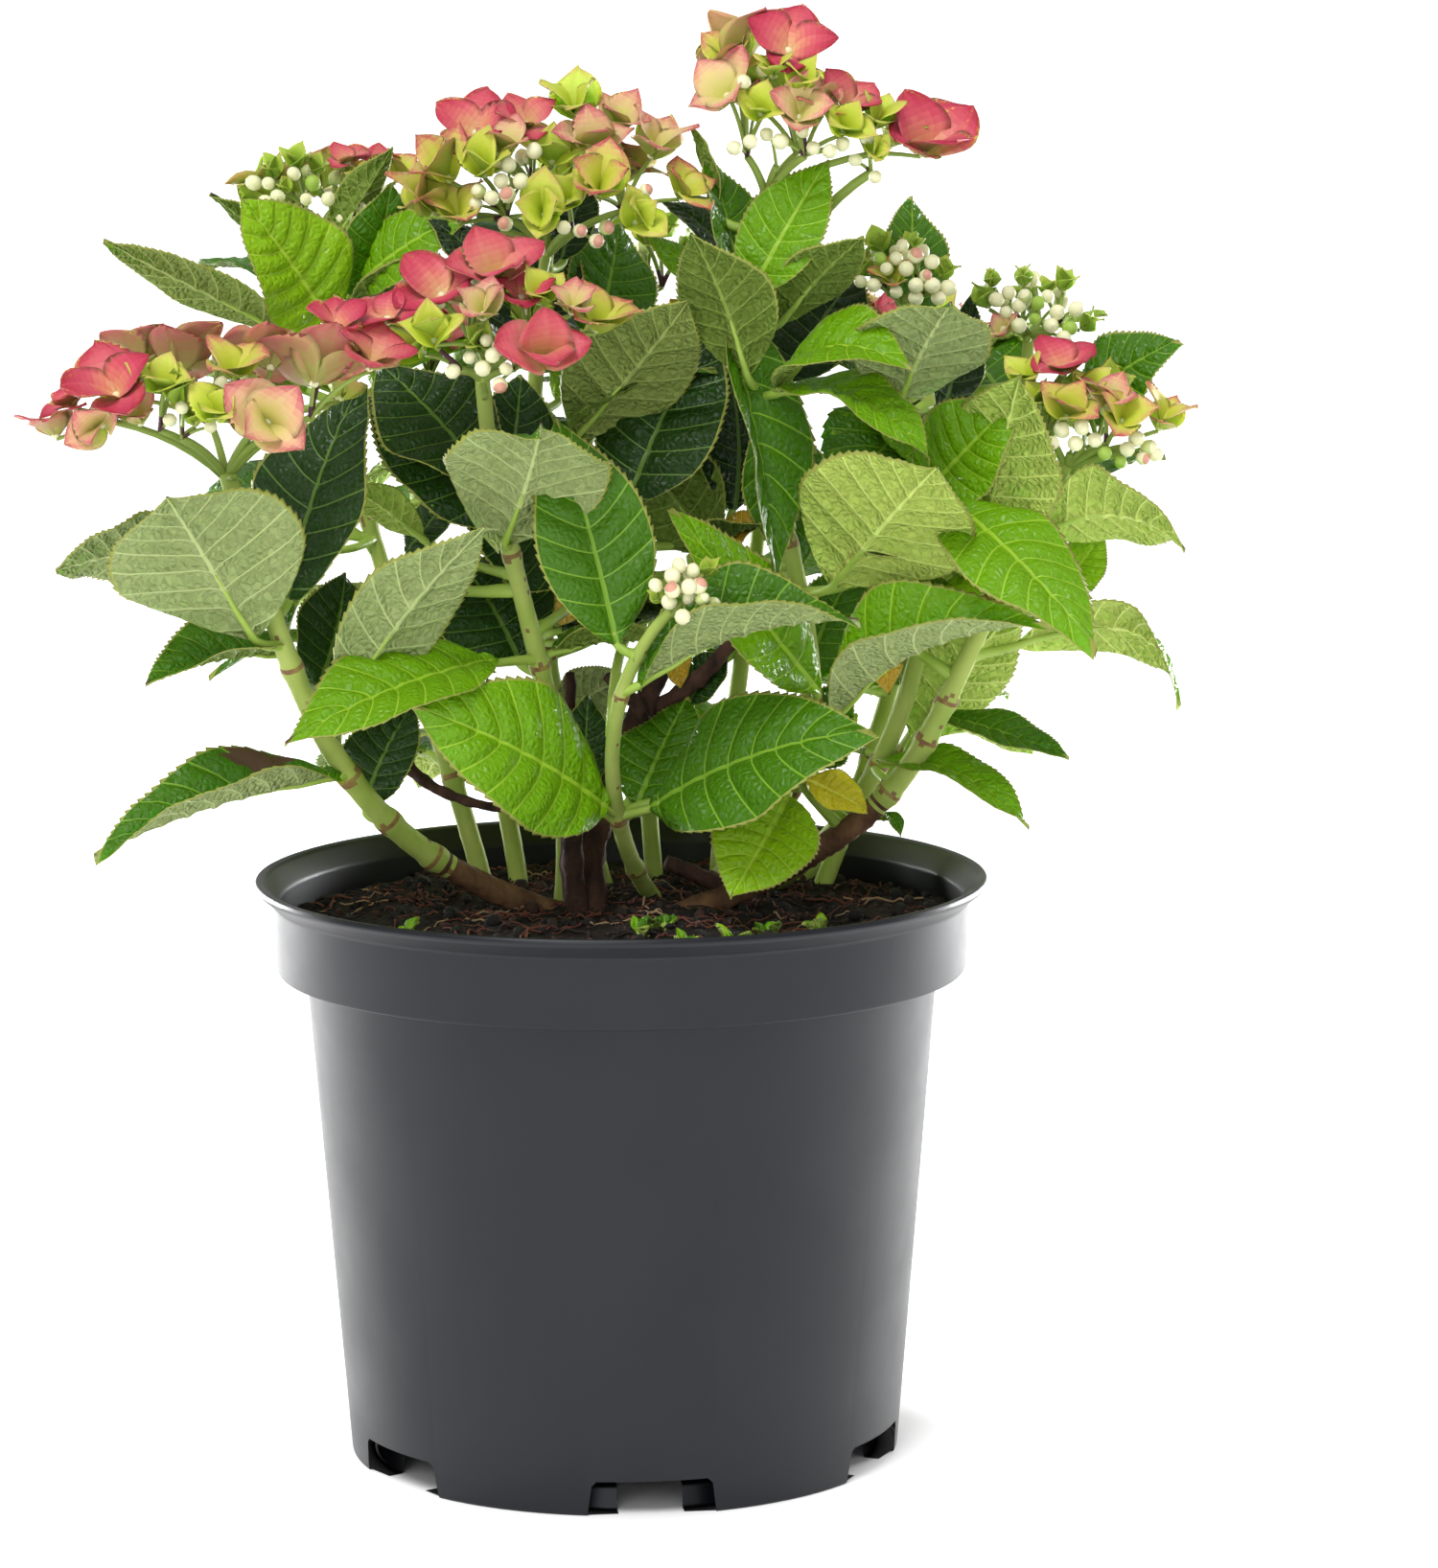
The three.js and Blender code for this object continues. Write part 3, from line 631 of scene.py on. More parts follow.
# ---- The leaves in view, shoot by shoot ----
# Blade base, blade tip, width, facing, arch, fold, tint. Facing 0 turns the upper side to the front, 90 turns
# it up and 180 turns the underside to the front.
LEAVES = {
    "stem_upper_left": [
        ((-102, 38, 350), (-159, 6, 382), 22, 126, 0.02, 10, "olive"),
        # The next leaf takes the young tint as painted light: lighter than the bright tint, to make up for
        # the shade of the heads and leaves above it.
        ((-90, 32, 350), (-117, 12, 394), 40, 32, 0.05, 14, "young"),
        ((-93, 44, 376), (-71, 34, 409), 17, 150, 0.06, 40, "moss"),
        ((-80, 52, 356), (-72, 44, 397), 30, 30, 0.04, 12, "mid"),
        ((-84, 46, 364), (-46, 30, 389), 28, 40, 0.1, 12, "bright"),
        ((-86, 44, 350), (-56, 26, 376), 22, 140, 0.06, 14, "moss"),
        ((-102, 68, 368), (-130, 54, 394), 17, 120, 0.05, 16, "dark"),
    ],
    "stem_left": [
        ((-100, -44, 275), (-78, -26, 340), 41, 28, 0.05, 16, "dark"),
        ((-102, 4, 270), (-91, 8, 286), 14, 35, 0.05, 10, "dark"),
        ((-109, -60, 266), (-130, -104, 313), 60, 168, 0.1, 8, "grey"),
        ((-104, -18, 262), (-136, 16, 280), 32, 60, 0.06, 10, "mid"),
        ((-128, -24, 288), (-170, -46, 285), 34, 118, 0.05, 8, "grey"),
        ((-99, -40, 259), (-141, -68, 253), 32, 62, 0.06, 30, "mid"),
        ((-85, -32, 220), (-158, -66, 201), 38, 64, 0.04, 50, "spotted"),
        ((-84, -44, 243), (-39, -68, 300), 33, 146, 0.05, 14, "grey"),
        ((-93, -20, 244), (-85, -4, 279), 30, 30, 0.05, 12, "dark"),
        ((-80, -14, 206), (-64, 0, 238), 28, 34, 0.05, 12, "dark"),
        ((-88, 0, 232), (-72, 8, 262), 28, 30, 0.05, 12, "mid"),
    ],
    "stem_centre_left": [
        ((-61, 4, 289), (-86, -10, 308), 14, 150, 0.05, 10, "light"),
        ((-31, -22, 296), (-77, -16, 336), 38, 34, 0.05, 8, "dark"),
        ((-40, -36, 312), (-73, -18, 345), 44, 40, 0.05, 6, "dark"),
        ((-31, -12, 252), (-53, 4, 285), 44, 30, 0.04, 8, "dark"),
        ((-12, -4, 210), (-10, 2, 240), 18, 30, 0.04, 8, "dark"),
        ((-12, 6, 278), (-50, -8, 306), 40, 32, 0.04, 6, "dark"),
        ((-36, -10, 298), (-30, 0, 340), 34, 28, 0.04, 8, "dark"),
        ((-67, 6, 284), (-50, 10, 304), 16, 40, 0.04, 8, "dark"),
        ((-37, -30, 255), (-99, -74, 236), 40, 50, 0.08, 16, "bright"),
        ((-34, -42, 293), (-21, -88, 333), 54, 166, 0.03, 22, "grey"),
        ((-21, -14, 256), (14, -10, 258), 26, 88, 0.05, 28, "mid"),
    ],
    "stem_front": [
        ((-3, -28, 208), (-60, -70, 246), 48, 32, 0.06, 10, "bright"),
        ((9, -26, 208), (76, -66, 238), 46, 36, 0.06, 10, "mid"),
        ((5, -16, 207), (21, 10, 238), 30, 30, 0.04, 10, "mid"),
        ((-22, 18, 232), (2, 24, 243), 20, 150, 0.05, 10, "grey"),
        ((12, 6, 257), (19, 6, 241), 14, 40, 0.1, 16, "ochre"),
        ((21, 12, 235), (34, 16, 252), 18, 40, 0.05, 12, "dark"),
        ((0, -52, 262), (-18, -42, 330), 38, 14, 0.05, 18, "mid"),
        ((6, -52, 250), (73, -54, 270), 48, 62, 0.1, 60, "grey"),
        ((52, -22, 211), (34, -50, 184), 34, 16, 0.04, 8, "young"),
    ],
    "stem_upper_centre": [
        ((-14, 4, 320), (22, -36, 365), 40, 152, 0.04, 16, "olive"),
        ((2, -6, 299), (29, 16, 354), 42, 24, 0.05, 10, "dark"),
        ((30, 8, 284), (0, 18, 322), 34, 152, 0.05, 10, "moss"),
        ((-12, 14, 282), (-20, 18, 259), 20, 40, 0.05, 12, "ochre"),
        ((36, 14, 296), (34, 26, 340), 32, 30, 0.05, 8, "deep"),
        ((28, 4, 282), (46, 10, 296), 16, 50, 0.05, 10, "ochre"),
        ((-34, 26, 344), (-16, 44, 382), 34, 30, 0.05, 8, "deep"),
        ((-34, 22, 366), (-60, 30, 387), 18, 40, 0.05, 8, "deep"),
        ((-18, 22, 374), (-9, 28, 399), 18, 30, 0.05, 8, "deep"),
        ((-8, 36, 346), (0, 52, 384), 34, 30, 0.05, 8, "mid"),
    ],
    "stem_tall": [
        ((40, -16, 364), (65, -6, 406), 27, 18, 0.04, 14, "bright"),
        ((37, -8, 364), (27, 8, 408), 26, 50, 0.04, 22, "mid"),
        ((31, 0, 390), (23, 8, 416), 9, 120, 0.04, 10, "moss"),
        ((36, 10, 373), (13, 16, 393), 18, 52, 0.08, 14, "dark"),
        ((40, -18, 341), (23, -44, 386), 32, 158, 0.04, 20, "moss"),
        ((31, -6, 362), (48, -20, 277), 36, 50, 0.06, 30, "mid"),
        ((31, 14, 360), (8, 22, 382), 12, 34, 0.08, 8, "bright"),
        ((49, -14, 337), (89, -46, 345), 36, 58, 0.2, 14, "bright"),
        ((48, -16, 336), (95, -44, 317), 36, 64, 0.16, 12, "bright"),
        ((50, -6, 357), (75, -30, 384), 24, 138, 0.06, 12, "moss"),
        ((52, 12, 336), (76, 30, 370), 34, 30, 0.04, 8, "deep"),
        ((46, 8, 326), (56, 8, 276), 30, 22, 0.04, 8, "mid"),
        ((62, -4, 241), (17, -38, 302), 31, 32, 0.05, 12, "bright"),
        ((58, 20, 242), (76, 30, 278), 30, 30, 0.05, 8, "mid"),
        ((66, -16, 276), (96, -72, 318), 56, 164, 0.04, 8, "light"),
        ((70, -8, 276), (98, -28, 288), 30, 96, 0.05, 20, "mid"),
        ((65, -14, 232), (130, -48, 268), 50, 62, 0.14, 58, "pale"),
        ((22, 6, 284), (44, -4, 294), 26, 100, 0.04, 14, "deep"),
    ],
    "stem_right_inner": [
        ((86, -12, 332), (101, -46, 365), 46, 152, 0.06, 12, "grey"),
        ((93, 22, 354), (92, 34, 393), 25, 24, 0.05, 14, "mid"),
        ((101, 26, 324), (111, 30, 362), 20, 36, 0.05, 12, "deep"),
        ((94, -6, 302), (122, -20, 333), 34, 28, 0.05, 10, "bright"),
        ((113, -4, 286), (123, -32, 342), 42, 155, 0.04, 10, "light"),
        ((77, 4, 263), (115, -22, 276), 34, 70, 0.08, 14, "young"),
    ],
    "stem_right_outer": [
        ((101, -20, 303), (144, -70, 263), 37, 32, 0.09, 10, "bright"),
        ((130, -8, 292), (173, -36, 289), 37, 122, 0.17, 10, "light"),
        ((137, 4, 270), (151, 6, 289), 19, 30, 0.05, 8, "young"),
        ((124, -2, 256), (172, -36, 241), 28, 118, 0.33, 4, "light"),
        ((92, 24, 222), (126, 6, 268), 34, 156, 0.04, 8, "light"),
        ((100, 16, 231), (140, -4, 220), 19, 56, 0.05, 10, "mid"),
        ((60, 22, 214), (72, 10, 242), 26, 34, 0.05, 10, "mid"),
        ((80, 16, 216), (127, -16, 200), 23, 60, 0.13, 14, "bright"),
        ((99, -2, 261), (118, -24, 290), 32, 150, 0.04, 6, "light"),
        ((58, 6, 212), (78, 2, 202), 15, 30, 0.1, 16, "yellow"),
        ((78, 0, 258), (84, -4, 240), 14, 40, 0.1, 14, "ochre"),
        ((82, 14, 200), (88, 6, 194), 7, 50, 0.15, 16, "mid"),
    ],
    "stem_back_right": [
        ((142, 32, 325), (174, 12, 349), 31, 38, 0.08, 8, "mid"),
        ((90, 34, 336), (118, 42, 352), 28, 36, 0.05, 8, "deep"),
    ],
}
MASSES = sorted(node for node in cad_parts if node.startswith("leaves_"))


def node_box(node):
    low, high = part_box(node)
    return np.array(low) / MM, np.array(high) / MM


MASS_BOXES = {node: node_box(node) for node in MASSES}


def nearest_mass(point):
    def away(node):
        low, high = MASS_BOXES[node]
        return np.linalg.norm((point - (low + high) / 2) / ((high - low) / 2))
    return min(MASSES, key=away)


def facing_normal(base, tip, facing):
    along = unit(np.subtract(tip, base))
    toward = unit(TOWARD - along * (TOWARD @ along))
    raised = np.cross(along, toward)
    if raised @ np.array([0.3, 0, 1]) < 0:
        raised = -raised
    angle = math.radians(facing)
    return toward * math.cos(angle) + raised * math.sin(angle)


def joint_near(shoot, base):
    """The point of the shoot that a leaf with this blade base springs from: near it and a little lower."""
    path = LIMBS[shoot][6:]
    reach = np.linalg.norm(path - base, axis=1) + 1.6 * np.maximum(path[:, 2] - base[2] + 3, 0)
    return path[int(np.argmin(reach))]


# Open sky inside the crown and round it, as the camera sees it on the plane y = 0: left, foot, right, top.
SKY = [
    (-190, 299, -118, 318), (-190, 252, -146, 276), (-190, 225, -94, 246), (-190, 202, -128, 226),
    (-190, 150, -81, 203), (-165, 382, -120, 420), (-190, 355, -125, 368), (-190, 318, -166, 470),
    (-190, 276, -172, 300), (-62, 392, -56, 420), (20, 402, 27, 440), (68, 384, 90, 400),
    (100, 362, 113, 480), (60, 396, 200, 400), (152, 357, 200, 480), (172, 300, 200, 357),
    (162, 293, 200, 312), (150, 262, 200, 285), (150, 243, 162, 254), (143, 150, 200, 236),
    (131, 150, 200, 220), (104, 150, 143, 199), (-87, 277, -66, 294), (-78, 304, -74, 315),
    (-24, 323, -18, 331), (-104, 233, -94, 242), (-33, 241, -27, 250), (-23, 237, 2, 255),
    (36, 237, 52, 247), (-38, 201, -28, 207), (59, 200, 67, 214), (77, 217, 89, 233), (-142, 373, -118, 388),
    (124, 236, 143, 250), (84, 428, 200, 480), (70, 434, 84, 480), (-120, 410, -62, 480), (7, 370, 19, 379),
    (52, 319, 65, 333), (56, 279, 64, 286), (123, 265, 129, 274),
]


def seen(points):
    """Where the camera sees the points on the plane y = 0: x and z."""
    points = np.atleast_2d(points)
    share = (0 - CAMERA_AT[1]) / (points[:, 1] - CAMERA_AT[1])
    on_plane = CAMERA_AT + (points - CAMERA_AT) * share[:, None]
    return on_plane[:, [0, 2]]


def blocks_sky(points):
    flat = seen(points)
    for left, foot, right, top in SKY:
        inside = (flat[:, 0] > left) & (flat[:, 0] < right) & (flat[:, 1] > foot) & (flat[:, 1] < top)
        if inside.any():
            return True
    return False


def inside_crown(points, grow):
    ok = np.zeros(len(points), bool)
    for low, high in MASS_BOXES.values():
        ok |= (np.linalg.norm((points - (low + high) / 2) / ((high - low) / 2 * grow), axis=1) < 1)
    return ok.all()


BACK_LEAVES = 5
# Shoots that bear opposite pairs of leaves on the hidden side, and the azimuth of their lowest pair.
PAIRED = dict(
    stem_rear_left=200, stem_rear_centre=175, stem_rear_right=150, stem_centre_back=185, stem_back_right=120,
    stem_upper_left=225, stem_upper_centre=190, stem_right_inner=150,
)
# Leaves that fill the inside of a mass, behind those in view, and how far back they sit.
INNER_LEAVES = dict(
    leaves_core=3, leaves_inner=3, leaves_centre_left=2, leaves_left_inner=2, leaves_right_mid=2,
    leaves_right_upper=2, leaves_top_right=2, leaves_centre=1, leaves_centre_right=1, leaves_left_shoulder=1,
    leaves_right_inner=1, leaves_far_right=1, leaves_left_side=1,
)
INNER_DEPTH = (0, 36)
# How near to the front a grown leaf and a leaf of a pair may come, how low, and how far out of the box.
GROWN_BEHIND = -4
PAIRS_BEHIND = 30
LOWEST_LEAF = 176
BOX_MARGIN = 8
# How often each tint is drawn.
PAIR_TINTS = dict(bright=0.42, mid=0.36, dark=0.12, young=0.1)
REAR_TINTS = dict(mid=0.4, dark=0.14, deep=0.04, bright=0.42)
# The inner leaves draw only the mid, dark and deep tints, never bright: painted shade for the inside of the
# crown.
INNER_TINTS = dict(mid=0.3, dark=0.4, deep=0.3, bright=0)


def leaf_fits(base, along, normal, length, width):
    """Whether a leaf leaves the photo's sky open and stays in the plant's own box."""
    side = np.cross(along, normal)
    checks = np.array([base + along * length * k + side * width * half_width * hand
                       for k, half_width in ((0.05, 0.1), (0.25, 0.45), (0.45, 0.5), (0.7, 0.4), (1.0, 0.0))
                       for hand in (-1, 0, 1)])
    low, high = np.array(cad_box) / MM
    fits = ((checks > low - BOX_MARGIN) & (checks < high + BOX_MARGIN)).all()
    behind = checks[:, 1].min() > GROWN_BEHIND
    return fits and behind and checks[:, 2].min() > LOWEST_LEAF and not blocks_sky(checks), checks


def grow_leaf(heap, stalks, start, base, reach, normal, width, tints, rng, least_fold=6, thick=(1.7, 1.3)):
    """A leaf of the growing rule, on a stalk from start; reach is the blade from its base to its tip."""
    tint = rng.choice(list(tints), p=list(tints.values()))
    arch, fold = rng.uniform(0.05, 0.14), rng.uniform(least_fold, 18)
    arrival, midrib = blade(heap, base, base + reach, normal, width, arch, fold, tint, rng, COARSE)
    petiole(stalks, start, arrival, midrib, thick)


def grow_pairs(heaps, stalks):
    """Opposite pairs at the joints of the rear shoots, each pair turned a quarter from the one below."""
    rng = np.random.default_rng(23)
    for shoot, azimuth in PAIRED.items():
        path = LIMBS[shoot]
        joints = SHOOTS[shoot][6]
        for number, joint in enumerate(joints):
            start = path[int(np.argmin(np.abs(path[:, 2] - joint)))]
            share = number / max(len(joints) - 1, 1)
            for turn in (0, 180):
                for attempt in range(14):
                    spread = 6 + 4 * attempt
                    way = azimuth + 90 * number + turn + rng.uniform(-spread, spread)
                    flat = heading(way, 0)
                    if attempt == 0 and flat[1] < -0.75:
                        break
                    length = rng.uniform(56, 74) * (1 - 0.16 * share) * (1 - 0.03 * attempt)
                    width = length * rng.uniform(0.58, 0.68)
                    rise = rng.uniform(-0.5, 0.1) + 0.55 * share
                    along = unit(flat + UP * rise)
                    base = start + flat * rng.uniform(9, 17) + UP * rng.uniform(3, 9)
                    normal = unit(UP + flat * rng.uniform(0.0, 0.7) + rng.normal(0, 0.1, 3))
                    fits, checks = leaf_fits(base, along, normal, length, width)
                    if fits and checks[:, 1].min() > PAIRS_BEHIND:
                        heap = heaps[nearest_mass(base + along * length / 2)]
                        grow_leaf(heap, stalks, start, base, along * length, normal, width, PAIR_TINTS, rng)
                        break


def grow_rule_leaves(heaps, stalks):
    """Leaves that fill the inside and the far side: each spreads away from the shoot nearest to it."""
    rng = np.random.default_rng(11)
    limbs = np.concatenate([path[12:-6] for path in LIMBS.values()])
    for node in MASSES:
        low, high = MASS_BOXES[node]
        centre, half = (low + high) / 2, (high - low) / 2
        rear = node.startswith("leaves_back")
        wanted = BACK_LEAVES if rear else INNER_LEAVES.get(node, 0)
        made = 0
        for _ in range(wanted * 60):
            if made == wanted:
                break
            spot = centre + half * unit(rng.normal(size=3)) * rng.uniform(0.2, 0.95 if rear else 0.72)
            if not rear:
                spot[1] = rng.uniform(*INNER_DEPTH) if centre[1] < 20 else spot[1] + 8
            above = np.maximum(limbs[:, 2] - spot[2], 0)
            reach = np.linalg.norm((limbs - spot) * (1, 1, 0.8), axis=1) + 1.2 * above
            start = limbs[int(np.argmin(reach))]
            away = spot - start
            away[2] = 0
            outwards = unit([spot[0] * 0.8, spot[1] - 10, 0])
            away = unit(away) * min(1.0, np.linalg.norm(away) / 12) + outwards * 0.7
            length = rng.uniform(52, 70) if rear else rng.uniform(48, 66)
            along = unit(unit(away) + UP * (rng.uniform(-0.7, 0.2) if rear else rng.uniform(-0.35, 0.4))
                         + rng.normal(0, 0.2, 3))
            base = spot - along * length / 2
            outward = rng.uniform(0.2, 1.2) if rear else rng.uniform(-0.1, 0.75)
            normal = unit(UP + unit(away) * outward + rng.normal(0, 0.16, 3))
            width = length * rng.uniform(0.58, 0.7)
            fits, checks = leaf_fits(base, along, normal, length, width)
            if not fits or not (rear or inside_crown(checks, 1.15)):
                continue
            tints = REAR_TINTS if rear else INNER_TINTS
            grow_leaf(heaps[node], stalks, start, base, along * length, normal, width, tints, rng,
                      least_fold=4, thick=(1.5, 1.15))
            made += 1


def make_leaves():
    rng = np.random.default_rng(5)
    heaps = {node: Heap() for node in MASSES}
    stalks = Heap()
    for shoot, rows in LEAVES.items():
        for base, tip, width, facing, arch, fold, tint in rows:
            base, tip = np.array(base, float), np.array(tip, float)
            normal = facing_normal(base, tip, facing)
            heap = heaps[nearest_mass((base + tip) / 2)]
            arrival, midrib = blade(heap, base, tip, normal, width, arch, fold, tint, rng)
            petiole(stalks, joint_near(shoot, base), arrival, midrib)
    grow_pairs(heaps, stalks)
    grow_rule_leaves(heaps, stalks)
    return heaps, stalks


# ---- Flower heads ----
# Rows and columns of a sepal: in view, and on the hidden side.
NEAR_SEPAL = (np.array([0.02, 0.11, 0.2, 0.3, 0.4, 0.5, 0.6, 0.7, 0.8, 0.88, 0.95, 1]), np.linspace(-1, 1, 9))
FAR_SEPAL = (np.array([0.02, 0.2, 0.4, 0.6, 0.78, 0.91, 1]), np.linspace(-1, 1, 5))
FLORET_GROWTH = 1.1  # the coloured florets are this much larger than listed
# How steeply the sepals of each kind stand up from the floret's face, in degrees.
CUPS = dict(crimson=(30, 48), rose=(32, 52), peach=(38, 58), limerose=(38, 58), lime=(42, 62), green=(58, 74))
# How sharply they end: the power that their width falls by towards the tip.
POINTED = dict(crimson=0.8, rose=0.84, peach=1.0, limerose=1.08, lime=1.16, green=1.1)


def sepal(heap, centre, out, normal, length, width, lift, rise, kind, rng, grid):
    """One broad pointed sepal: it leaves the middle steeply, opens outwards and bends back at its tip."""
    side = np.cross(normal, out)
    u, v = grid[0][:, None], grid[1][None, :]
    foot, tip = 0.8, POINTED[kind]
    full = (foot + tip) ** (foot + tip) / foot ** foot / tip ** tip
    half = np.maximum(width / 2 * full * u ** foot * (1 - u) ** tip, 0.09 * length * (1 - u))
    steep, flat = math.radians(rise + 22), math.radians(rise - rng.uniform(18, 42))
    bend = steep - flat
    angle = steep - bend * u
    x = length / bend * (math.sin(steep) - np.sin(angle))
    z = length / bend * (np.cos(angle) - math.cos(steep)) + lift
    hollow = half * v ** 2 * (0.42 - 0.5 * u + rng.uniform(-0.12, 0.12))
    hollow = hollow + 0.045 * length * np.sin(8 * u + rng.uniform(0, 6)) * v * np.abs(v)
    hollow = hollow + 0.02 * length * np.sin(5 * u + 9 * v + rng.uniform(0, 6)) * u
    x, z = x - np.sin(angle) * hollow, z + np.cos(angle) * hollow
    y = v * half * 0.94 + rng.uniform(-0.1, 0.1) * length * u ** 2
    thick = SEPAL_THICKNESS * (np.abs(v) < 0.99)

    def points(drop):
        local = np.stack(np.broadcast_arrays(x + np.sin(angle) * drop, y, z - np.cos(angle) * drop), -1)
        return centre + local[..., :1] * out + local[..., 1:2] * side + local[..., 2:] * normal

    u_face = (grid[0][:-1] + grid[0][1:])[:, None] / 2
    v_face = np.abs(grid[1][:-1] + grid[1][1:])[None, :] / 2
    streaks = rng.uniform(-0.03, 0.03, v_face.shape) + rng.uniform(-0.05, 0.05)
    shade = np.clip(0.84 * u_face ** 1.15 + 0.32 * v_face * u_face ** 0.6 + streaks, 0, 0.999)
    first = NUMBERS[f"sepal_{kind}_0"]
    face = first + (shade * FACE_STEPS).astype(int)
    back = first + FACE_STEPS + (shade * BACK_STEPS).astype(int)
    two_skins(heap, points(0 * thick), points(thick), face, back, True)


def floret(heap, place, facing, size, kind, rng, grid):
    """Four sepals round a small bud; place is the middle of their cup. Returns the cup's foot."""
    normal = heading(*facing)
    first = across(normal)
    second = np.cross(normal, first)
    rise = rng.uniform(*CUPS[kind])
    reach = min(size * 0.54 / math.cos(math.radians(rise)), size * 0.78)
    foot = place - normal * reach * 0.42 * math.sin(math.radians(rise))
    start = rng.uniform(0, 2 * math.pi)
    for k in range(4):
        angle = start + k * math.pi / 2 + rng.normal(0, 0.1)
        out = first * math.cos(angle) + second * math.sin(angle)
        length = reach * rng.uniform(0.88, 1.1)
        width = length * (rng.uniform(0.9, 1.06) if kind in ("crimson", "rose") else rng.uniform(0.82, 0.98))
        steeper = rng.uniform(1.08, 1.28) if k % 2 else rng.uniform(0.74, 0.92)
        sepal(heap, foot, out, normal, length, width, 0.45 * (k % 2), rise * steeper, kind, rng, grid)
    heart = "bud_cream" if kind in ("crimson", "rose", "peach") else "bud_shade"
    ball(heap, foot + normal * 1.3, normal, 1.45 if kind != "green" else 0.9, heart)
    return foot


# Florets: place, size, facing (azimuth, elevation), kind. Buds: places. Forks: where the stalks part.
HEADS = {}


def head(name, shoot, slot, extra, florets=(), buds=(), forks=(), branch=None):
    """Lists a head; extra is how many florets and buds the rule adds on its far side."""
    HEADS["flowers_" + name] = dict(shoot="stem_" + shoot, slot=slot, extra=extra, florets=florets, buds=buds,
                                    forks=forks, branch=branch)


head("left", "left", "bloom_rose", (5, 5), [
    ((-147, -84, 343), 25, (-18, 20), "crimson"), ((-141, -62, 351), 22, (176, 22), "rose"),
    ((-161, -72, 338), 16, (-60, 30), "crimson"), ((-166, -76, 331), 22, (-110, 62), "rose"),
    ((-152, -84, 332), 16, (-20, -28), "peach"), ((-129, -66, 350), 24, (170, 24), "rose"),
    ((-133, -84, 345), 17, (-6, 28), "lime"), ((-112, -80, 349), 21, (8, 36), "limerose"),
    ((-116, -90, 337), 16, (0, 18), "lime"), ((-102, -68, 350), 25, (186, 20), "rose"),
    ((-88, -74, 347), 26, (172, 18), "rose"), ((-101, -90, 334), 23, (8, -18), "peach"),
    ((-82, -66, 361), 19, (16, 36), "crimson"), ((-71, -74, 351), 22, (50, 34), "rose"),
    ((-128, -82, 342), 15, (-10, 40), "green"), ((-141, -74, 334), 16, (-30, 50), "peach"),
    ((-124, -76, 335), 14, (0, 60), "lime"),
], buds=[
    (-131, -80, 333), (-93, -80, 331), (-127, -84, 337), (-108, -82, 335), (-119, -80, 331),
], forks=[(-128, -74, 327), (-113, -70, 315), (-90, -74, 333), (-148, -74, 332), (-104, -72, 327)])
head("centre_left", "centre_left", "bloom_rose", (4, 6), [
    ((-68, -58, 362), 19, (-24, 30), "crimson"), ((-52, -50, 369), 24, (-10, 24), "crimson"),
    ((-36, -46, 375), 23, (8, 24), "rose"), ((-54, -66, 358), 18, (-8, 18), "lime"),
    ((-39, -66, 365), 17, (0, 28), "peach"), ((-22, -52, 368), 14, (20, 30), "lime"),
    ((-28, -50, 368), 17, (16, 50), "crimson"), ((-21, -72, 353), 23, (14, 6), "rose"),
    ((-4, -56, 361), 24, (46, 34), "limerose"), ((-41, -62, 355), 13, (-10, 20), "green"),
    ((-60, -52, 352), 16, (-50, 0), "lime"), ((-12, -62, 366), 15, (20, 44), "peach"),
], buds=[
    (-39, -68, 347), (-36, -70, 351), (-34, -66, 353), (-32, -70, 347), (-34, -68, 342), (-48, -66, 346),
    (-43, -64, 350), (-38, -64, 355), (-30, -64, 351),
], forks=[(-39, -54, 337), (-46, -58, 346), (-30, -58, 346)])
head("upper_centre", "upper_centre", "bloom_lime", (7, 8), [
    ((-44, 6, 416), 24, (-12, 20), "crimson"), ((-41, -12, 406), 20, (-10, 24), "lime"),
    ((-53, -8, 405), 22, (-30, 28), "limerose"), ((-59, -6, 395), 23, (-50, 42), "limerose"),
    ((-28, 4, 418), 20, (4, 46), "rose"), ((-13, 8, 423), 20, (-4, 36), "lime"),
    ((1, 10, 418), 16, (24, 48), "peach"), ((-7, -2, 412), 20, (10, 32), "peach"),
    ((-5, -16, 400), 23, (8, 14), "limerose"), ((12, 4, 411), 23, (58, 38), "peach"),
    ((21, -4, 397), 18, (46, 22), "limerose"), ((-23, -18, 391), 19, (-6, -8), "lime"),
    ((7, -14, 389), 19, (16, -4), "lime"), ((-49, -8, 391), 18, (-10, 30), "limerose"),
    ((-34, -8, 411), 16, (-10, 40), "peach"), ((-20, -4, 408), 17, (0, 46), "lime"),
    ((-15, -14, 395), 15, (-10, 10), "lime"),
], buds=[
    (-43, -12, 393), (-38, -16, 395), (-35, -14, 400), (-33, -18, 396), (-33, -12, 405), (-34, -14, 387),
    (-11, -18, 385), (-6, -20, 382), (-3, -18, 386), (-25, -10, 409), (9, -12, 397), (-42, -14, 397),
    (-29, -16, 400), (-16, -18, 386),
], forks=[(-23, 6, 370), (-34, 0, 388), (-14, 0, 384), (2, 2, 390), (-26, 6, 396)])
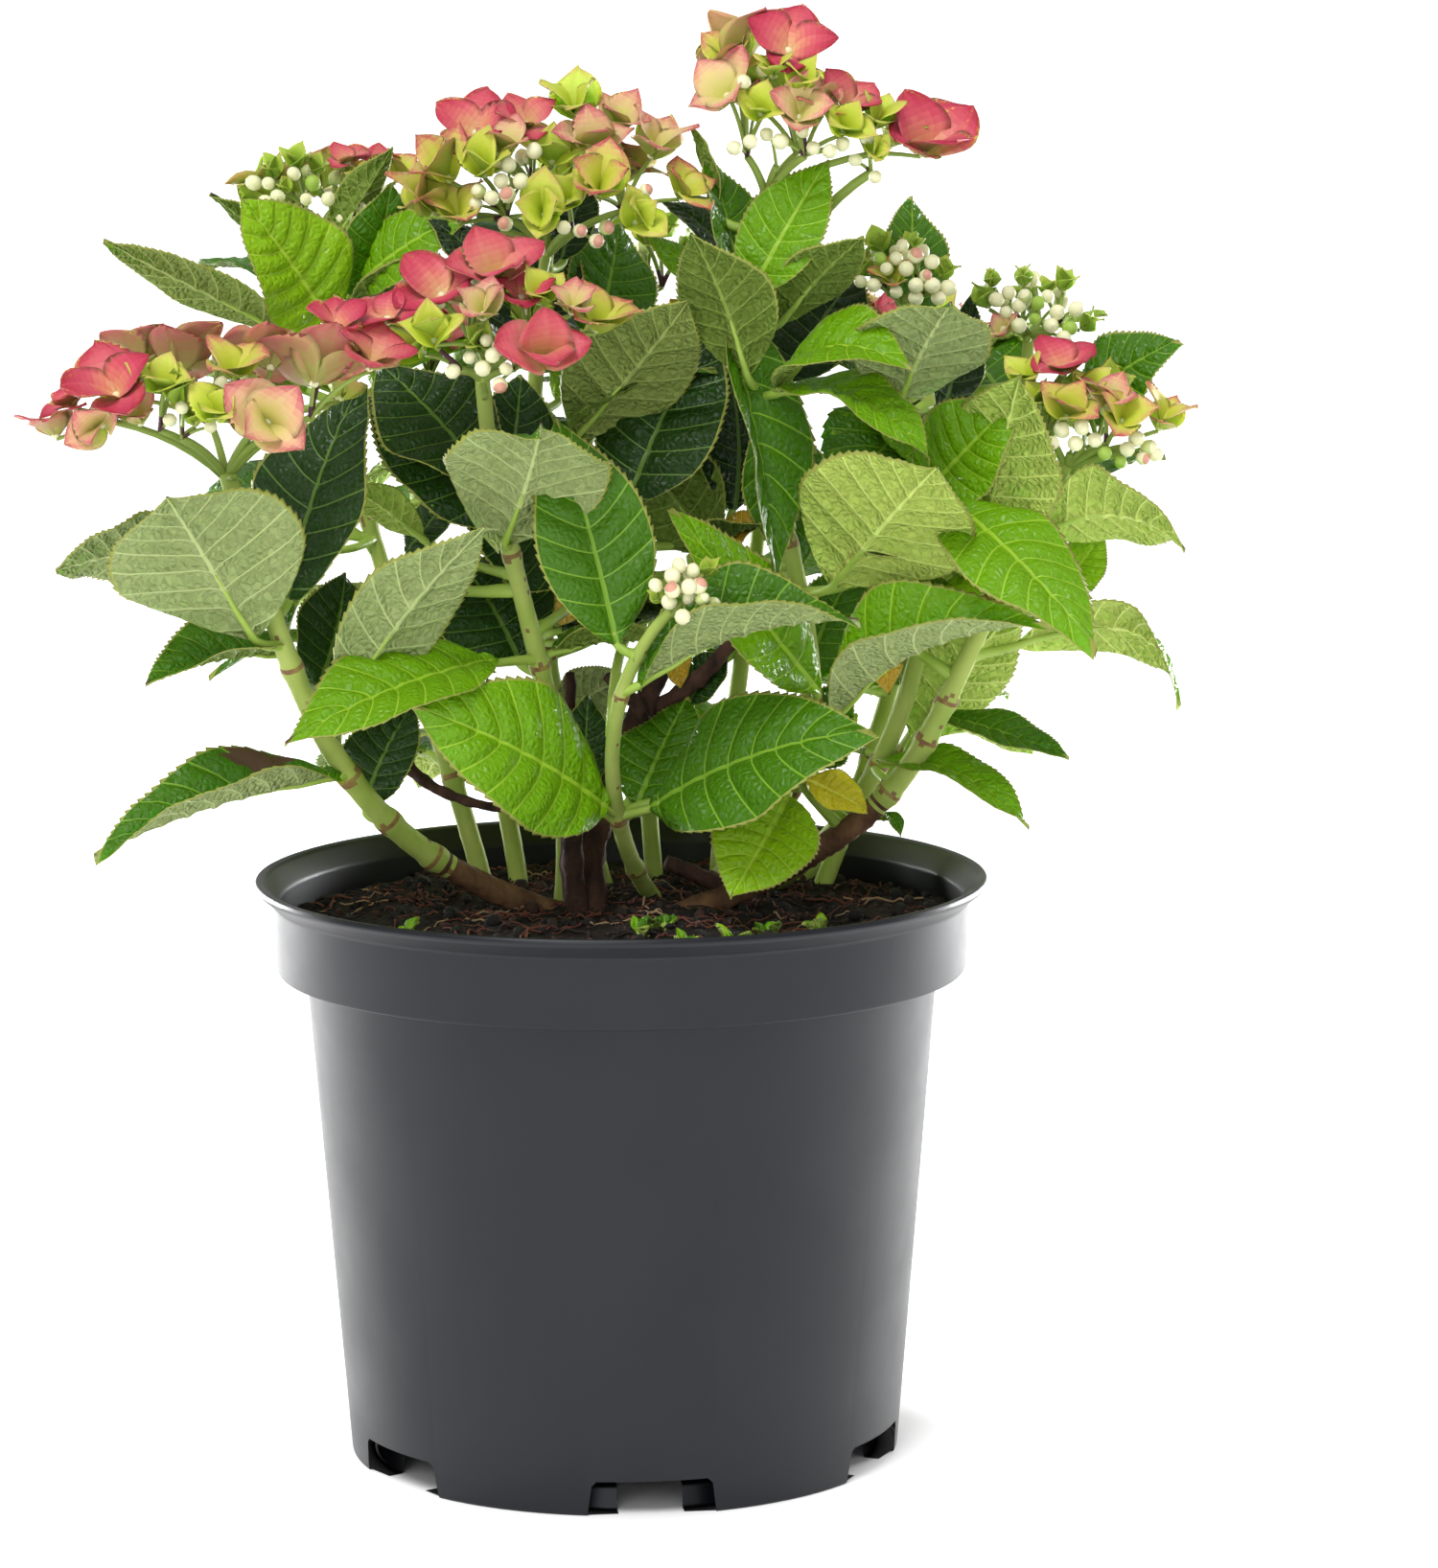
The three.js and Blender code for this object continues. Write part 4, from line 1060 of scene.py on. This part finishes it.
head("top_right", "tall", "bloom_lime", (6, 6), [
    ((36, 0, 440), 24, (-150, 30), "peach"), ((53, -8, 441), 23, (8, 18), "crimson"),
    ((33, -14, 427), 21, (-32, 8), "peach"), ((48, -16, 434), 13, (0, 40), "lime"),
    ((57, -18, 431), 15, (4, 30), "lime"), ((56, -20, 421), 18, (8, 10), "peach"),
    ((71, -10, 423), 19, (30, 42), "rose"), ((44, -20, 422), 14, (-10, 8), "lime"),
    ((70, -20, 417), 16, (16, 14), "lime"), ((80, -12, 419), 15, (30, 30), "lime"),
    ((95, -8, 412), 26, (22, 20), "crimson"), ((79, -18, 409), 12, (26, 0), "lime"),
    ((34, -4, 436), 18, (-60, 30), "limerose"), ((63, -14, 424), 15, (0, 40), "peach"),
    ((86, -2, 413), 15, (60, 50), "lime"),
], buds=[
    (39, -20, 430), (41, -22, 412), (36, -20, 410), (50, -22, 412), (60, -22, 410), (65, -22, 409),
    (79, -18, 401), (77, -16, 413), (46, -18, 414), (57, -18, 415), (69, -18, 411), (73, -14, 406),
], forks=[(49, -10, 404), (40, -8, 407), (52, -6, 398)], branch=((52, 2, 372), (78, -10, 402), 1.9))
head("upper_left", "upper_left", "bloom_lime", (6, 6), [
    ((-110, 52, 401), 11, (-40, 40), "green"), ((-102, 50, 404), 12, (-10, 50), "green"),
    ((-96, 52, 402), 10, (10, 50), "green"), ((-106, 46, 396), 9, (-10, 20), "green"),
    ((-87, 60, 404), 14, (10, 50), "rose"), ((-76, 62, 402), 13, (30, 40), "rose"),
    ((-70, 56, 400), 12, (50, 30), "limerose"), ((-82, 52, 398), 11, (10, 30), "lime"),
], buds=[
    (-116, 50, 397), (-111, 46, 397), (-108, 44, 393), (-103, 46, 400), (-97, 46, 397), (-88, 46, 386),
    (-86, 46, 383), (-83, 46, 390), (-80, 48, 392), (-92, 44, 392), (-99, 44, 392), (-112, 46, 391),
    (-76, 50, 394),
], forks=[(-100, 52, 388), (-90, 54, 388), (-82, 54, 388)])
head("right_buds", "right_inner", "bud_cream", (2, 7), [
    ((85, 4, 369), 13, (0, 28), "limerose"), ((81, 12, 379), 11, (-30, 56), "green"),
    ((101, 10, 371), 10, (56, 34), "green"), ((77, 8, 372), 10, (-50, 30), "green"),
    ((91, 10, 379), 9, (10, 66), "green"),
], buds=[
    (75, 2, 368), (79, 0, 367), (86, 2, 375), (89, 0, 372), (92, 2, 376), (97, 2, 374), (86, 0, 365),
    (92, -2, 367), (92, 0, 363), (99, 0, 363), (102, 2, 366), (95, -2, 370), (83, 0, 372), (88, 4, 379),
    (97, -2, 367), (81, 2, 375),
], forks=[(89, 10, 362), (84, 8, 364), (94, 8, 364)])
head("far_right", "back_right", "bud_cream", (2, 7), [
    ((115, 28, 361), 12, (-50, 36), "green"), ((117, 28, 367), 9, (-30, 50), "green"),
    ((127, 32, 367), 9, (0, 70), "green"), ((140, 30, 366), 11, (30, 58), "green"),
    ((147, 28, 353), 10, (80, 12), "green"), ((120, 22, 352), 9, (-30, 0), "peach"),
    ((134, 28, 364), 9, (10, 60), "green"),
], buds=[
    (122, 24, 363), (127, 22, 362), (125, 22, 359), (121, 22, 357), (125, 20, 353), (137, 22, 357),
    (135, 20, 353), (141, 22, 352), (139, 20, 349), (131, 20, 360), (130, 20, 355), (134, 22, 362),
    (118, 22, 361), (143, 22, 358),
], forks=[(128, 28, 348), (122, 26, 352), (135, 26, 350)])
head("right", "right_outer", "bloom_lime", (4, 5), [
    ((137, -8, 343), 21, (2, 34), "crimson"), ((126, -10, 340), 14, (-40, 28), "lime"),
    ((138, -22, 331), 18, (0, 20), "limerose"), ((151, -16, 333), 15, (20, 36), "peach"),
    ((155, -20, 328), 17, (16, 14), "limerose"), ((168, -12, 327), 17, (50, 34), "limerose"),
    ((129, -16, 333), 12, (-30, 20), "lime"), ((145, -12, 336), 13, (10, 50), "lime"),
], buds=[
    (129, -20, 324), (140, -24, 320), (142, -24, 325), (146, -24, 321), (156, -22, 318), (154, -22, 314),
    (161, -20, 315), (163, -18, 318), (165, -18, 316), (149, -24, 317), (136, -22, 324), (159, -20, 321),
    (133, -22, 320),
], forks=[(139, -14, 316), (132, -14, 322), (150, -14, 318), (158, -14, 316)])
head("front_buds", "front", "bud_cream", (0, 2), [
    ((28, -62, 286), 9, (40, 50), "green"), ((13, -62, 278), 8, (-60, 10), "green"),
], buds=[
    (19, -68, 288), (17, -70, 285), (12, -68, 282), (17, -72, 281), (25, -70, 282), (26, -70, 278),
    (20, -72, 273), (23, -66, 286), (16, -68, 277), (29, -66, 276), (22, -72, 282), (22, -66, 278),
], forks=[(17, -62, 275), (21, -64, 277)])
# Heads on the far side, which grow by the rule alone.
head("centre_back", "centre_back", "bud_cream", (6, 12))
head("rear_left", "rear_left", "bloom_rose", (15, 16))
head("rear_centre", "rear_centre", "bloom_lime", (13, 14))
head("rear_right", "rear_right", "bloom_rose", (13, 14))
KINDS_BY_SLOT = {
    "bloom_rose": ["crimson", "rose", "rose", "peach", "limerose", "lime"],
    "bloom_lime": ["lime", "limerose", "peach", "rose", "lime"],
    "bud_cream": ["green", "green", "lime"],
}


# Points of a floret that are tested against the open sky, in half widths.
RIM = np.array([(0, 0, 0), (-1, 0, 0), (1, 0, 0), (0, 0, 1), (0.7, 0, 0.7), (-0.7, 0, 0.7)])


def rule_florets(row, low, high, rng):
    """Florets and buds that finish the far side of a head: a ring of florets round a middle of buds."""
    centre, half = (low + high) / 2, (high - low) / 2
    whole = not row["florets"]
    count, bud_count = row["extra"]
    florets, buds = [], []
    start = rng.uniform(0, 360)
    for k in range(count):
        azimuth = start + 360 * k / count if whole else rng.uniform(105, 255)
        inner = 0.35 if whole and k % 4 == 3 else rng.uniform(0.5, 0.75)
        flat = heading(azimuth, 0)
        rise = 0.75 if whole else 0.3
        height = rise - 0.7 * inner ** 2 + rng.uniform(-0.1, 0.1)
        place = centre + flat * half * inner + UP * half[2] * height
        size = rng.uniform(17, 25) if row["slot"] != "bud_cream" else rng.uniform(9, 12)
        kind = rng.choice(KINDS_BY_SLOT[row["slot"]])
        raised = rng.uniform(10, 50)
        if not blocks_sky(place + size * 0.42 * RIM):
            florets.append((place, size, (azimuth, raised), kind))
    for _ in range(bud_count):
        azimuth = rng.uniform(0, 360) if whole else rng.uniform(100, 260)
        inner = rng.uniform(0.05, 0.55)
        place = centre + heading(azimuth, 0) * half * inner + UP * half[2] * rng.uniform(-0.15, 0.35)
        if not blocks_sky(place + UP * BUD_SIZE / 2):
            buds.append(place)
    forks = [centre + heading(start + 120 * k, 0) * half * 0.28 - UP * half[2] * 0.55 for k in range(3)]
    return florets, buds, forks


def stalk(heap, start, end, thick, kind):
    gap = np.linalg.norm(end - start)
    middle = (start + end) / 2 + UP * gap * 0.08 + (end - start) * (-0.1, -0.1, 0.07)
    kinds = np.full(6, NUMBERS["pedicel"])
    kinds[:2 if kind == "pedicel_dark" else 0] = NUMBERS["pedicel_dark"]
    tube(heap, bezier([start, middle, end], 6), np.linspace(thick, thick * 0.8, 7), kinds, 6)


def make_head(name, row):
    rng = np.random.default_rng(100 + sorted(HEADS).index(name))
    low, high = node_box(name)
    more, more_buds, more_forks = rule_florets(row, low, high, rng)
    florets = [(np.array(place, float), size * (1 if kind == "green" else FLORET_GROWTH), facing, kind)
               for place, size, facing, kind in row["florets"]] + more
    buds = [np.array(p, float) for p in row["buds"]] + more_buds
    forks = [np.array(p, float) for p in row["forks"]] + (more_forks if row["extra"][0] else [])
    root = LIMBS[row["shoot"]][-1] - UP * 2
    middle = (low + high) / 2 - UP * (high[2] - low[2]) * 0.3
    petals, stalks, beads = Heap(), Heap(), Heap()
    for fork in forks:
        stalk(stalks, root, fork, 1.45, "pedicel")
    if row["branch"]:
        start, end, thick = row["branch"]
        stalk(stalks, np.array(start, float), np.array(end, float), thick, "pedicel_dark")
        forks.append(np.array(end, float))
    for number, (place, size, facing, kind) in enumerate(florets):
        start = min(forks, key=lambda fork: np.linalg.norm(fork - place) + 0.8 * max(fork[2] - place[2], 0))
        azimuth, elevation = facing
        elevation = min(elevation + (30 if elevation < 42 else 14), 78)
        grid = NEAR_SEPAL if number < len(row["florets"]) else FAR_SEPAL
        foot = floret(petals, place, (azimuth, elevation), size, kind, rng, grid)
        end = foot - heading(azimuth, elevation) * 0.4
        stalk(stalks, start, end, 0.85, rng.choice(["pedicel", "pedicel_dark"]))
    for place in buds:
        start = min(forks, key=lambda fork: np.linalg.norm(fork - place))
        axis = unit(place - middle)
        kind = rng.choice(["bud_cream", "bud_shade", "bud_green"], p=[0.74, 0.19, 0.07])
        tip_kind = rng.choice(["bud_cream", "bud_blush"], p=[0.86, 0.14])
        radius = BUD_SIZE / 2 * rng.uniform(0.82, 1.08)
        ball(beads, place, axis, radius, kind, tip_kind if kind != "bud_green" else None)
        stalk(stalks, start, place - axis * 1.5, 0.6, rng.choice(["pedicel", "pedicel", "pedicel_dark"]))
    short = name.replace("flowers_", "")
    if row["slot"] == "bud_cream":
        beads.piece("buds_" + short, "bud_cream", [name])
        petals.piece("florets_" + short, "bloom_lime")
    else:
        petals.piece("florets_" + short, row["slot"], [name])
        beads.piece("buds_" + short, "bud_cream")
    stalks.piece("pedicels_" + short, "stem_green")


# ---- Pot ----
def body_radius(z):
    return POT["foot"] + (POT["body_top"] - POT["foot"]) * z / POT["band_foot"]


def fillet(points, radius=0.9, steps=3):
    """Rounds the corners of a profile."""
    done = [np.array(points[0], float)]
    for before, here, after in zip(points, points[1:], points[2:]):
        before, here, after = (np.array(p, float) for p in (before, here, after))
        cut = min(radius, np.linalg.norm(before - here) * 0.4, np.linalg.norm(after - here) * 0.4)
        start, end = here + unit(before - here) * cut, here + unit(after - here) * cut
        done += list(bezier([start, here, end], steps))
    return done + [np.array(points[-1], float)]


def pot_profile():
    """From the middle of the underside round the rim and down inside to the middle of the floor."""
    lip_foot = POT["height"] - POT["lip_face"]
    band_top = lip_foot - POT["lip_under"]
    foot, band_foot, rim, wall = POT["foot"], POT["band_foot"], POT["rim"], POT["wall"]
    under = [(0.2, 0), (POT["pad"], 0), (POT["pad"] + 5, POT["channel"]),
             (foot - POT["ring"] - 1, POT["channel"]), (foot - POT["ring"], 0), (foot, 0)]
    outside = [(POT["body_top"], band_foot), (POT["band_foot_radius"], band_foot + 0.8),
               (POT["band_top"], band_top), (rim - 0.6, lip_foot), (rim, lip_foot + 1),
               (rim - 0.7, POT["height"]), (rim - POT["lip_width"], POT["height"] - 0.6)]
    inside = [(POT["band_top"] - wall, band_top), (POT["band_foot_radius"] - wall, band_foot + 3.5),
              (body_radius(band_foot) - wall, band_foot + 1), (body_radius(16) - wall, 16),
              (body_radius(13) - wall - 4, POT["floor_top"]), (0.2, POT["floor_top"])]
    return fillet(under + outside + inside)


def notch_cutter(width, height, shoulder, depth, angle):
    """A tapering block that cuts a notch or a slot through the foot at the given angle."""
    half, cut = width / 2, 1.5
    top = half - shoulder / 2
    shape = [(-half, -2), (half, -2), (top, height - cut), (top - cut, height), (-top + cut, height),
             (-top, height - cut)]
    out = POT["foot"] + 6
    points = np.array([(x, -y, z) for y in (out, out - depth) for x, z in shape], float)
    turn = math.radians(angle)
    c, s = math.cos(turn), math.sin(turn)
    points = points @ np.array([[c, s, 0], [-s, c, 0], [0, 0, 1]])
    n = len(shape)
    faces = [tuple(range(n)), tuple(range(2 * n - 1, n - 1, -1))]
    faces += [(k, k + n, (k + 1) % n + n, (k + 1) % n) for k in range(n)]
    mesh = bpy.data.meshes.new("notch")
    mesh.from_pydata([tuple(p * MM) for p in points], [], faces)
    mesh.update()
    return standing("notch", mesh)


def apply_modifier(piece, kind, **settings):
    modifier = piece.modifiers.new(kind.lower(), kind)
    for key, value in settings.items():
        setattr(modifier, key, value)
    bpy.context.view_layer.update()
    graph = bpy.context.evaluated_depsgraph_get()
    mesh = bpy.data.meshes.new_from_object(piece.evaluated_get(graph))
    piece.modifiers.clear()
    piece.data = mesh


def make_pot():
    heap = Heap()
    profile, sides, number = pot_profile(), POT["sides"], NUMBERS["pot_plastic"]
    points = [circle(sides, np.array([r, 0, 0]), np.array([0, r, 0])) + UP * z for r, z in profile]
    last = (len(profile) - 1) * sides
    heap.add(np.concatenate(points + [[(0, 0, 0), (0, 0, POT["floor_top"])]]),
             (ring_faces(len(profile), sides)[:, ::-1], number),
             (fan(last + sides, 0, sides, True)[:, ::-1], number),
             (fan(last + sides + 1, last, sides, False)[:, ::-1], number))
    piece = heap.piece("pot_shell", "pot_plastic", ["pot"])
    for i in range(NOTCH["count"]):
        angle = NOTCH["first"] + 360 / NOTCH["count"] * i
        for size in ((NOTCH["width"], NOTCH["height"], NOTCH["shoulder"], NOTCH["recess"] + 6, angle),
                     (NOTCH["slot_width"], NOTCH["slot_height"], 0, POT["ring"] + 14, angle)):
            cutter = notch_cutter(*size)
            apply_modifier(piece, "BOOLEAN", object=cutter, operation="DIFFERENCE", solver="EXACT")
            bpy.data.objects.remove(cutter)
    piece.data.set_sharp_from_angle(angle=math.radians(32))


# ---- Compost ----
CRUMBS = 1200
FIBRES = 420


def ground(x, y):
    """Height of the compost's uneven surface."""
    lumps = noise.fractal(Vector((x * 0.045, y * 0.045, 3)), 1.0, 2.0, 5) * 2.6
    fine = noise.fractal(Vector((x * 0.35, y * 0.35, 7)), 0.8, 2.0, 4) * 1.0
    return compost_top(x, y) + lumps + fine - 0.6


def strewn(rng, reach):
    """A place on the compost, as likely here as there."""
    angle, radius = rng.uniform(0, 2 * math.pi), reach * math.sqrt(rng.uniform(0, 1))
    return radius * math.cos(angle), radius * math.sin(angle)


def make_compost():
    heap = Heap()
    rings, sides = 84, 200
    reach = COMPOST["edge_radius"]
    turn = np.arange(sides) / sides * 2 * math.pi
    points = []
    for radius in [0.4 + (reach - 0.4) * i / (rings - 1) for i in range(rings)]:
        ring = [(radius * math.cos(a), radius * math.sin(a)) for a in turn]
        points.append([(x, y, ground(x, y)) for x, y in ring])
    skirt = [(reach - 0.2, 160), (body_radius(150) - 4, 150), (body_radius(18) - 5, 18),
             (body_radius(14) - 10, COMPOST["foot"]), (1, COMPOST["foot"])]
    for radius, z in skirt:
        points.append([(radius * math.cos(a), radius * math.sin(a), z) for a in turn])
    points = np.array(points).reshape(-1, 3)
    heap.add(points, (ring_faces(rings + len(skirt), sides)[:, ::-1], NUMBERS["compost"]))
    heap.piece("compost_bed", "compost", ["compost"])

    rng = np.random.default_rng(3)
    crumbs = Heap()
    for _ in range(CRUMBS):
        x, y = strewn(rng, 104)
        size = rng.gamma(2.0, 0.32) + 0.3
        kind = rng.choice(["compost_dark", "compost_dark", "compost_brown", "compost_red"])
        axis = unit(rng.normal(size=3))
        place = np.array([x, y, ground(x, y) + size * 0.4])
        ball(crumbs, place, axis, min(size, 2.8), kind, None, rng.uniform(0.5, 1.5), rings=4, sides=6)
    crumbs.piece("compost_crumbs", "compost")

    fibres = Heap()
    for _ in range(FIBRES):
        x, y = strewn(rng, 100)
        way = rng.uniform(0, 2 * math.pi)
        length = rng.uniform(6, 22)
        path = []
        for k in range(9):
            if math.hypot(x, y) > 103:
                break
            path.append((x, y, ground(x, y) + rng.uniform(0.2, 1.6)))
            way += rng.normal(0, 0.35)
            x += math.cos(way) * length / 8
            y += math.sin(way) * length / 8
        if len(path) > 3:
            kind = rng.choice(["fibre_red", "compost_brown", "fibre_pale"], p=[0.6, 0.32, 0.08])
            tube(fibres, path, rng.uniform(0.16, 0.42), NUMBERS[kind], 5)
    fibres.piece("compost_fibres", "compost")


SPROUTS = (
    (-66, -38), (-44, -66), (-26, -70), (6, -50), (14, -40), (34, -62), (62, -40), (20, -66), (46, -48),
)


def make_seedlings():
    rng = np.random.default_rng(17)
    sprouts = Heap()
    for x, y in SPROUTS:
        z = ground(x, y)
        for k in range(5):
            way = heading(rng.uniform(0, 360), rng.uniform(15, 60))
            base = np.array([x, y, z + 1.0])
            tip = base + way * rng.uniform(4, 8.5)
            tint = rng.choice(["mid", "young", "bright"])
            blade(sprouts, base + way * 1.2, tip, UP, rng.uniform(3, 5), 0.12, 10, tint, rng, TINY)
            tube(sprouts, bezier([base - UP * 2, base, base + way * 1.6], 4), 0.45, NUMBERS["petiole"], 5)
    sprouts.piece("seedlings", "leaf_green")


# ---- Stage ----
# The floor glows a little: painted light that stands in for a brightly lit white sheet. The painted light
# fades out towards the pot and is left off under it. Metres and watts.
FLOOR_REACH = 60.0
NO_PAINTED_LIGHT_RADIUS = 0.080
FULL_PAINTED_LIGHT_RADIUS = 0.120
FLOOR_PAINTED_LIGHT = 0.42
SKY_LIGHT = 0.63
KEY_SUN = 1.9
# Name, power, place, size and the point that it faces.
SOFTBOXES = (
    ("front_box", 11, (-0.5, -2.3, 0.9), (1.4, 1.0), (0, 0, 0.3)),
    ("left_box", 34, (-1.1, 1.2, 0.24), (0.36, 0.46), (0, 0, 0.1)),
    ("right_box", 34, (1.1, 1.2, 0.24), (0.36, 0.46), (0, 0, 0.1)),
)


def lamp(name, kind, energy, place, aim, **settings):
    """A lamp that shines from place towards aim."""
    light = bpy.data.lights.new(name, kind)
    light.energy = energy
    for key, value in settings.items():
        setattr(light, key, value)
    thing = standing(name, light)
    thing.location = place
    thing.rotation_euler = (Vector(place) - Vector(aim)).to_track_quat("Z", "Y").to_euler()


def make_stage():
    mesh = bpy.data.meshes.new("floor")
    corners = [(x * FLOOR_REACH, y * FLOOR_REACH, 0) for x, y in ((-1, -1), (1, -1), (1, 1), (-1, 1))]
    mesh.from_pydata(corners, [], [(0, 1, 2, 3)])
    material = bpy.data.materials.new("floor")
    material.use_nodes = True
    tree = material.node_tree
    shader = tree.nodes["Principled BSDF"]
    put(shader, Base_Color=(0.99, 0.99, 0.99, 1), Roughness=0.9, Emission_Color=(1, 1, 1, 1))
    where = tree.nodes.new("ShaderNodeTexCoord")
    away = tree.nodes.new("ShaderNodeVectorMath")
    away.operation = "LENGTH"
    # Painted light: the floor's emission, none under the pot, rising to full strength farther out.
    glow = tree.nodes.new("ShaderNodeMapRange")
    put(glow, From_Min=NO_PAINTED_LIGHT_RADIUS, From_Max=FULL_PAINTED_LIGHT_RADIUS, To_Min=0.0, To_Max=FLOOR_PAINTED_LIGHT)
    tree.links.new(where.outputs["Object"], away.inputs[0])
    tree.links.new(away.outputs["Value"], glow.inputs["Value"])
    tree.links.new(glow.outputs["Result"], shader.inputs["Emission Strength"])
    mesh.materials.append(material)
    floor = standing("floor", mesh)

    world = bpy.data.worlds.new("studio")
    scene.world = world
    world.use_nodes = True
    put(world.node_tree.nodes["Background"], Color=(1, 1, 1, 1), Strength=SKY_LIGHT)
    lamp("key", "SUN", KEY_SUN, heading(-24, 56), (0, 0, 0), angle=math.radians(26))
    for name, power, place, size, aim in SOFTBOXES:
        lamp(name, "AREA", power, place, aim, shape="RECTANGLE", size=size[0], size_y=size[1])
    scene.view_settings.view_transform = "Standard"


def make_camera():
    camera = standing("camera", bpy.data.cameras.new("camera"))
    camera.data.lens = CAMERA_LENS
    camera.data.sensor_width = 36
    camera.data.clip_end = 200
    camera.matrix_world = (Matrix.Translation(Vector(CAMERA_AT * MM))
                           @ Matrix.Rotation(math.radians(90 - CAMERA_PITCH), 4, "X")
                           @ Matrix.Rotation(math.radians(CAMERA_ROLL), 4, "Z"))
    scene.camera = camera


moulding = (*grain(1400, 0.10, 0.1), *grain(60, 0.05, 0.6))
pot_shader = paint("pot_plastic", (12, 13, 17), 0.36, moulding, 0, 0.38, rough_mix=(26, 0.34, 0.46))
put(pot_shader, Specular_Tint=(0.90, 0.93, 1.0, 1.0))
clods = (*grain(260, 0.8, 2.0), *grain(900, 0.6, 0.8))
paint("compost", (16, 12, 11), 0.92, clods, 0, 0.3, (36, 25, 20), 90)
for name, rgb in dict(dark=(17, 13, 12), brown=(36, 25, 20), red=(54, 31, 24)).items():
    paint("compost_" + name, rgb, 0.9, grain(700, 0.7, 0.8))
for name, rgb in dict(red=(96, 52, 40), pale=(150, 122, 92)).items():
    paint("fibre_" + name, rgb, 0.85, grain(700, 0.5, 0.5))

make_camera()
make_stage()
make_pot()
make_compost()
make_seedlings()
for shoot in SHOOTS:
    make_shoot(shoot).piece("shoot_" + shoot.replace("stem_", ""), "stem_green", [shoot])
make_wood().piece("old_stock", "bark", ["old_wood"])
leaf_heaps, leaf_stalks = make_leaves()
for mass, leaf_heap in leaf_heaps.items():
    leaf_heap.piece("foliage_" + mass.replace("leaves_", ""), "leaf_green", [mass])
leaf_stalks.piece("petioles", "stem_green")
for flowers, row in HEADS.items():
    make_head(flowers, row)
